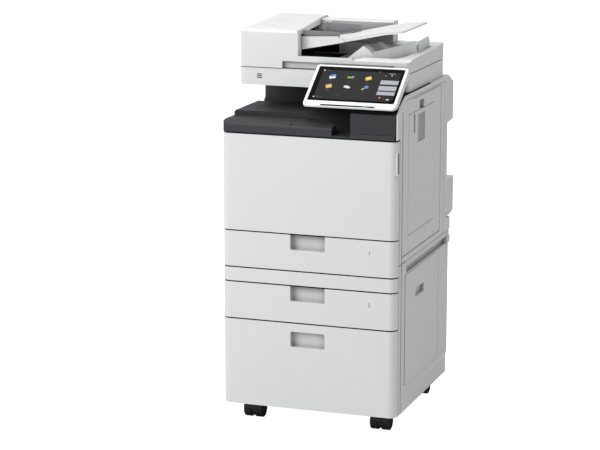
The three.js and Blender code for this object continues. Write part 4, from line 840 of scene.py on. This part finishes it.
class COPIER_OT_touch_panel(bpy.types.Operator):
    """Lay the glass, its lit screen with plain icons, the status lamp and small marks"""

    bl_idname = "copier.touch_panel"
    bl_label = "Touch Panel"

    def execute(self, context):
        sizes = context.scene.copier_sizes
        corner, across, up, outward, size = flat_frame("touch_screen")
        directions = (across, up, outward)

        def at(u, v):
            return corner + u * size[0] * across + v * size[1] * up

        make_piece("screen_glass", plate(at(0.5, 0.5), size, 1.6 * MM, (-1 * MM, 0),
                                         directions, edge=0.3 * MM),
                   "operation_panel", "panel_glass",
                   replaces=("touch_screen",))
        field = plate(at(0.5, 0.478), (0.88 * size[0], 0.845 * size[1]), 0.5 * MM,
                      (-0.1 * MM, 0.02 * MM), directions)
        make_piece("screen_field", field, "operation_panel", "screen_field")
        shapes = {}
        for u, v, wide, high, finish in SCREEN_MARKS:
            level = 0.03 * MM if finish == "screen_column" else 0.05 * MM
            shapes.setdefault(finish, []).append(plate(
                at(u, v), (wide * size[0], high * size[1]), 0.4 * MM, (-0.1 * MM, level),
                directions))
        for u, v, parts in ICONS:
            for order, ((dx, dy), (wide, high), bend, turn, finish) in enumerate(parts):
                centre = at(u, v) + sizes.icon_size * (dx * across + dy * up)
                extent = (wide * sizes.icon_size, high * sizes.icon_size)
                shapes.setdefault(finish, []).append(plate(
                    centre, extent, bend * sizes.icon_size,
                    (-0.1 * MM, (0.05 + 0.02 * order) * MM), directions,
                    turn=math.radians(turn)))
            shapes.setdefault("screen_dim", []).append(plate(
                at(u, v - 0.125), (0.4 * sizes.icon_size, 0.07 * sizes.icon_size), 0.2 * MM,
                (-0.1 * MM, 0.05 * MM), directions))
        for finish, parts in shapes.items():
            make_piece(finish + "_marks", joined(parts), "operation_panel", finish)
        self.status_bar()
        return {"FINISHED"}

    def status_bar(self):
        """The dark strip under the glass with its lamp, and three small marks above it."""
        corner, across, up, outward, size = flat_frame("status_bar")
        directions = (across, up, outward)
        middle = corner + 0.5 * size[0] * across + 0.5 * size[1] * up
        make_piece("status_strip", plate(middle, size, 1.4 * MM, (-0.8 * MM, 0),
                                         directions, edge=0.2 * MM),
                   "operation_panel", "panel_glass",
                   replaces=("status_bar",))
        lamp = middle + across * (0.313 * size[0])
        make_piece("status_lamp", plate(lamp, (19 * MM, 3.4 * MM), 0.8 * MM,
                                        (-0.3 * MM, 0.1 * MM), directions, edge=0.08 * MM),
                   "operation_panel", "lamp")
        face = flat_frame("operation_panel")[0] @ outward - middle @ outward
        marks = [plate(middle + across * (offset * size[0]) + up * (6.5 * MM) + face * outward,
                       (2.6 * MM, 1.5 * MM), 0.6 * MM, (-0.3 * MM, 0.05 * MM), directions)
                 for offset in (-0.314, 0.006, 0.34)]
        make_piece("panel_marks", joined(marks), "operation_panel", "figure")


# ------------------------------------------------------------------ small marks and screws

def numeral(name, text, centre, height, body):
    """A figure from the built-in face, made a mesh before it is put in place."""
    curve = bpy.data.curves.new(name, "FONT")
    curve.body = text
    curve.size = height
    curve.extrude = 0.06 * MM
    curve.align_x, curve.align_y = "CENTER", "CENTER"
    letter = bpy.data.objects.new(name, curve)
    bpy.context.scene.collection.objects.link(letter)
    graph = bpy.context.evaluated_depsgraph_get()
    mesh = bpy.data.meshes.new_from_object(letter.evaluated_get(graph))
    bpy.data.objects.remove(letter)
    places = np.zeros(len(mesh.vertices) * 3)
    mesh.vertices.foreach_get("co", places)
    places = places.reshape(-1, 3)
    across, up, outward = FRONT
    faces = [list(face.vertices) for face in mesh.polygons]
    made = centre + places[:, :1] * across + places[:, 1:2] * up + places[:, 2:] * outward
    make_piece(name, (made, faces), body, "figure", smooth_angle=20)


class COPIER_OT_marks(bpy.types.Operator):
    """Print the cassette figures and the small plain mark on the reader"""

    bl_idname = "copier.marks"
    bl_label = "Printed Marks"

    def execute(self, context):
        sizes = context.scene.copier_sizes
        right_inset, top_inset, bar_pitch = 77 * MM, 36 * MM, 4.8 * MM
        for text in ("1", "2"):
            body = "drawer_" + text
            low, high = spot(body + "_front")
            centre = np.array([high[0] - right_inset, low[1] - 0.03 * MM, high[2] - top_inset])
            numeral("figure_" + text, text, centre, sizes.numeral_height, body)
        low, high = spot("reader_housing")
        origin = np.array([low[0] + 59.5 * MM, low[1], high[2] - 23 * MM])
        bars = [plate(origin + FRONT[1] * step * bar_pitch, (15 * MM, 2.9 * MM), 0.8 * MM,
                      (-0.2 * MM, 0.05 * MM), FRONT) for step in (-1, 0, 1)]
        make_piece("reader_mark", joined(bars), "machine", "figure")
        return {"FINISHED"}


class COPIER_OT_screws(bpy.types.Operator):
    """Drive the cover screws on the right door, the rear covers and the cabinet"""

    bl_idname = "copier.screws"
    bl_label = "Screws"

    def execute(self, context):
        diameter = context.scene.copier_sizes.screw_diameter
        heads = []
        for node, low_inset in (("cabinet_rear_cover", 90), ("main_rear_cover", 30)):
            low, high = spot(node)
            heads += [screw_head(np.array([x, high[1], z]), REAR, diameter)
                      for x in (low[0] + 14 * MM, high[0] - 14 * MM)
                      for z in (low[2] + low_inset * MM, high[2] - 25 * MM)]
        make_piece("rear_cover_screws", joined(heads), "machine", "zinc")
        low, high = spot("right_door")
        heads = [screw_head(np.array([high[0] - 1 * MM, y, low[2] + 9 * MM]), RIGHT,
                            0.8 * diameter)
                 for y in (low[1] + 57 * MM, high[1] - 62 * MM)]
        make_piece("right_door_screws", joined(heads), "right_door", "figure")
        return {"FINISHED"}


# ------------------------------------------------------------------ feeder and trays

# Front and rear of each rubber roll on a roller's shaft, in mm
ROLLS = {"feeder_roller": ((-19, 3), (17, 39)),
         "exit_roller": ((-145, -121), (-85, -61), (-25, -1))}
# Raised pads on the feeder's cover: place as shares of it, then width, depth and corner in mm
COVER_RELIEF = ((0.30, 0.22, 46, 20, 5), (0.42, 0.48, 62, 9, 4), (0.36, 0.60, 40, 9, 4),
                (0.72, 0.40, 10, 10, 5), (0.62, 0.16, 30, 7, 3))


class COPIER_OT_feeder(bpy.types.Operator):
    """Add the feed roller's ribs, the cover's relief, black liners as painted shadow in the paper
    throat and a grey liner as painted shade on the rear wall
    """

    bl_idname = "copier.feeder"
    bl_label = "Feeder Details"

    def execute(self, context):
        sizes = context.scene.copier_sizes
        self.rollers(sizes.round_segments)
        self.relief()
        self.throat()
        self.wall_face()
        return {"FINISHED"}

    def rollers(self, segments):
        """Rubber rolls with fine ribs: their radius goes up and down with the angle."""
        shaft_radius, rib_depth = 3 * MM, 0.25 * MM
        for node, spans in ROLLS.items():
            low, high = spot(node)
            centre = (low + high) / 2
            radius = (high[2] - low[2]) / 2
            shaft = [[0, low[1]], [shaft_radius, low[1]], [shaft_radius, high[1]], [0, high[1]]]
            hub = np.array([centre[0], 0.0, centre[2]])
            shapes = [turned(shaft, hub, (0, 1, 0), 24)]
            angles = np.linspace(0, 2 * math.pi, 4 * segments, endpoint=False)
            ribs = radius - rib_depth * (1 - np.cos(angles * segments / 2))
            for first, last in spans:
                along = np.array([first, first, first + 0.6, last - 0.6, last, last]) * MM
                reach = np.array([0.0, 0.93, 1.0, 1.0, 0.93, 0.0])
                shapes.append(ringed(hub, reach[:, None] * ribs, along, angles))
            make_piece(node + "_ribbed", joined(shapes), node, "rubber",
                       replaces=(node,), smooth_angle=60)

    def relief(self):
        """Low raised guides and a latch on the feeder's top cover."""
        corner, across, up, outward, size = flat_frame("feeder_cover")
        directions = (across, up, outward)
        shapes = []
        for u, v, wide, high, bend in COVER_RELIEF:
            centre = corner + u * size[0] * across + v * size[1] * up
            shapes.append(plate(centre, (wide * MM, high * MM), bend * MM,
                                (-0.5 * MM, 0.9 * MM), directions, edge=0.6 * MM))
        make_piece("feeder_cover_relief", joined(shapes), "feeder_cover", "white")

    def throat(self):
        """Black liners on the wall, the floor and the back of the bay's feeder end: painted
        shadow where the raised block shades the bay.
        """
        tray, bed, wall = (spot(node)[0] for node in (
            "document_tray", "feeder_base", "feeder_rear_wall"))
        depth_inside, under_tray, floor_height, wall_top = 50.9 * MM, 26 * MM, 8.8 * MM, 91 * MM
        left, right = tray[0] - depth_inside, tray[0] + under_tray
        front, rear = tray[1] - 0.5 * MM, wall[1] - 2.3 * MM
        low, high = bed[2] + floor_height, bed[2] + wall_top
        floor_extra = 28 * MM
        side = np.array([left, (front + rear) / 2, (low + high) / 2])
        floor = np.array([(left + right) / 2 + floor_extra / 2, (front + rear) / 2, low])
        back = np.array([(left + right) / 2, rear, low + 20 * MM])
        reach = (right - left, rear - front)
        span = (-1 * MM, 0.4 * MM)
        shapes = [plate(side, (reach[1], high - low), 2 * MM, span, RIGHT),
                  plate(floor, (reach[0] + floor_extra, reach[1]), 2 * MM,
                        (-1 * MM, 0.3 * MM), TOP),
                  plate(back, (reach[0], 36 * MM), 2 * MM, span, FRONT)]
        make_piece("feeder_throat_shadow", joined(shapes), "feeder", "seal")

    def wall_face(self):
        """A grey liner on the front of the feeder's rear wall, to the right of the tray's end:
        painted shade over the wall's front face.
        """
        low, high = spot("feeder_rear_wall")
        margin = 2 * MM
        left, right = spot("document_tray")[0][0] + margin, high[0] - margin
        foot, top = low[2] + 3 * MM, high[2] - 4.5 * MM
        centre = np.array([(left + right) / 2, low[1], (foot + top) / 2])
        face = plate(centre, (right - left, top - foot), 2 * MM, (-0.5 * MM, 0.2 * MM), FRONT)
        make_piece("feeder_wall_shade", face, "feeder", "wall_grey")


# ------------------------------------------------------------------ inside the engine

class COPIER_OT_bottles(bpy.types.Operator):
    """Blow the toner bottles: a body with a spiral groove and a ribbed coloured cap"""

    bl_idname = "copier.bottles"
    bl_label = "Toner Bottles"

    def execute(self, context):
        segments = context.scene.copier_sizes.round_segments
        for colour in TONER_COLOURS:
            node = "toner_bottle_" + colour
            low, high = spot(node)
            centre = (low + high) / 2
            radius = (high[0] - low[0]) / 2
            cap, body_start = low[1], low[1] + 24 * MM
            along = np.linspace(body_start, high[1] - 20 * MM, 90)
            angles = np.linspace(0, 2 * math.pi, segments, endpoint=False)
            turns = (along[:, None] - body_start) / (22 * MM) * 2 * math.pi
            groove = 0.5 + 0.5 * np.cos(turns + angles[None, :])
            reach = radius - 0.4 * MM - 2.4 * MM * groove ** 6
            ends = np.array([[0.0, body_start], [radius - 6 * MM, body_start]])
            rings = np.vstack([np.repeat(ends[:, :1], segments, axis=1), reach,
                               np.full((1, segments), radius - 10 * MM),
                               np.zeros((1, segments))])
            depth = np.concatenate([ends[:, 1], along, [high[1], high[1]]])
            make_piece(node + "_blown", ringed(centre, rings, depth, angles), node,
                       "toner_black" if colour == "black" else "tray",
                       replaces=(node,))
            self.cap(node, colour, np.array([centre[0], 0, centre[2]]), cap, radius)
        return {"FINISHED"}

    def cap(self, node, colour, hub, front, radius):
        """The coloured cap: its rim goes in and out with the angle, and a bar stands on it."""
        angles = np.linspace(0, 2 * math.pi, 144, endpoint=False)
        rim = radius - 2.5 * MM - 0.8 * MM * (0.5 + 0.5 * np.cos(36 * angles))
        depth = np.array([5, 5, 6, 22, 23, 23]) * MM + front
        share = np.array([0, 0.96, 1, 1, 0.97, 0])
        cap = ringed(hub, share[:, None] * rim, depth, angles)
        centre = np.array([hub[0], front + 5 * MM, hub[2]])
        grip = plate(centre, (1.36 * radius, 6 * MM), 2 * MM, (-0.5 * MM, 5 * MM), FRONT,
                     edge=1 * MM)
        make_piece(node + "_cap", joined([cap, grip]), node,
                   "toner_" + colour)


# ------------------------------------------------------------------ studio

class COPIER_OT_studio(bpy.types.Operator):
    """Set the pale floor, the white surroundings, the soft lights and the camera"""

    bl_idname = "copier.studio"
    bl_label = "Studio"

    def execute(self, context):
        studio = context.scene.copier_studio
        self.floor(studio)
        self.surroundings(context.scene, studio)
        self.area("key_light", (-2.0, -2.7, 2.7), 2.2, studio.key_power)
        self.area("top_light", (-0.1, -0.4, 3.0), 2.4, studio.top_power)
        camera_data = bpy.data.cameras.new("camera")
        camera_data.lens = studio.lens
        camera_data.sensor_width = 36.0
        camera_data.clip_end = 60.0
        camera = bpy.data.objects.new("camera", camera_data)
        camera.location = studio.camera_place
        camera.rotation_euler = studio.camera_turn
        context.scene.collection.objects.link(camera)
        context.scene.camera = camera
        context.scene.view_settings.view_transform = "Standard"
        return {"FINISHED"}

    def floor(self, studio):
        """A wide flat sheet at floor level."""
        reach = np.linspace(-12.0, 12.0, 3)
        across, along = np.meshgrid(reach, reach, indexing="ij")
        places = np.stack([across, along, np.zeros_like(across)], axis=-1)
        vertices, faces = skin(places)
        mesh = bpy.data.meshes.new("studio_floor")
        mesh.from_pydata(vertices, [], [face[::-1] for face in faces])
        material, tree, shader, vector = new_material("studio_floor", tuple(studio.floor))
        drift = group_node(tree, "Tone Drift", {
            "Vector": vector, "Colour": (*studio.floor, 1), "Spread": 0.01, "Patch": 1.5})
        path = add_node(tree, "ShaderNodeLightPath")
        feed(tree, shader, {
            "Base Color": drift.outputs["Colour"], "Emission Color": (1, 1, 1, 1),
            "Emission Strength": path.outputs["Is Camera Ray"], "Roughness": 0.9,
            "Specular IOR Level": 0.1})
        mesh.materials.append(material)
        sheet = bpy.data.objects.new("studio_floor", mesh)
        bpy.context.scene.collection.objects.link(sheet)

    def surroundings(self, scene, studio):
        """White to look at, and a softer, dimmer white as light."""
        world = bpy.data.worlds.new("studio_world")
        world.use_nodes = True
        tree = world.node_tree
        tree.nodes.clear()
        seen = add_node(tree, "ShaderNodeBackground", {"Color": (1, 1, 1, 1), "Strength": 1.05})
        light = add_node(tree, "ShaderNodeBackground", {
            "Color": (0.97, 0.985, 1, 1), "Strength": studio.ambient})
        path = add_node(tree, "ShaderNodeLightPath")
        mix = add_node(tree, "ShaderNodeMixShader", {
            0: path.outputs["Is Camera Ray"], 1: light.outputs[0], 2: seen.outputs[0]})
        out = add_node(tree, "ShaderNodeOutputWorld")
        tree.links.new(mix.outputs[0], out.inputs["Surface"])
        scene.world = world

    def area(self, name, place, size, power):
        """A square soft light that looks at the middle of the machine."""
        data = bpy.data.lights.new(name, "AREA")
        data.shape = "SQUARE"
        data.size = size
        data.energy = power
        light = bpy.data.objects.new(name, data)
        light.location = place
        away = np.array(place) - np.array([0, 0, 0.6])
        yaw = math.atan2(away[0], -away[1])
        pitch = math.atan2(math.hypot(away[0], away[1]), away[2])
        light.rotation_euler = Euler((pitch, 0, yaw))
        bpy.context.scene.collection.objects.link(light)


# ------------------------------------------------------------------ add-on parts

STEPS = (
    COPIER_OT_finishes, COPIER_OT_covers, COPIER_OT_seam_shadows, COPIER_OT_casters,
    COPIER_OT_touch_panel, COPIER_OT_marks, COPIER_OT_screws, COPIER_OT_feeder, COPIER_OT_bottles,
    COPIER_OT_studio,
)
GROUPS = {"copier_sizes": CopierSizes, "copier_colours": CopierColours,
          "copier_studio": CopierStudio}


class COPIER_PT_sidebar(bpy.types.Panel):
    """Lists the steps that finish the copier, with their settings."""

    bl_label = "Office Copier"
    bl_idname = "COPIER_PT_sidebar"
    bl_space_type = "VIEW_3D"
    bl_region_type = "UI"
    bl_category = "Copier"

    def draw(self, context):
        for step in STEPS:
            self.layout.operator(step.bl_idname)
        for name, group in GROUPS.items():
            box = self.layout.box()
            box.label(text=group.__doc__)
            for key in group.__annotations__:
                box.prop(getattr(context.scene, name), key)


CLASSES = (*GROUPS.values(), *STEPS, COPIER_PT_sidebar)


def register():
    for made in CLASSES:
        bpy.utils.register_class(made)
    for name, group in GROUPS.items():
        setattr(bpy.types.Scene, name, PointerProperty(type=group))


def unregister():
    for name in GROUPS:
        delattr(bpy.types.Scene, name)
    for made in reversed(CLASSES):
        bpy.utils.unregister_class(made)


def main():
    """Runs every step in order."""
    register()
    for step in STEPS:
        group, name = step.bl_idname.split(".")
        getattr(getattr(bpy.ops, group), name)()


if __name__ == "__main__":
    main()
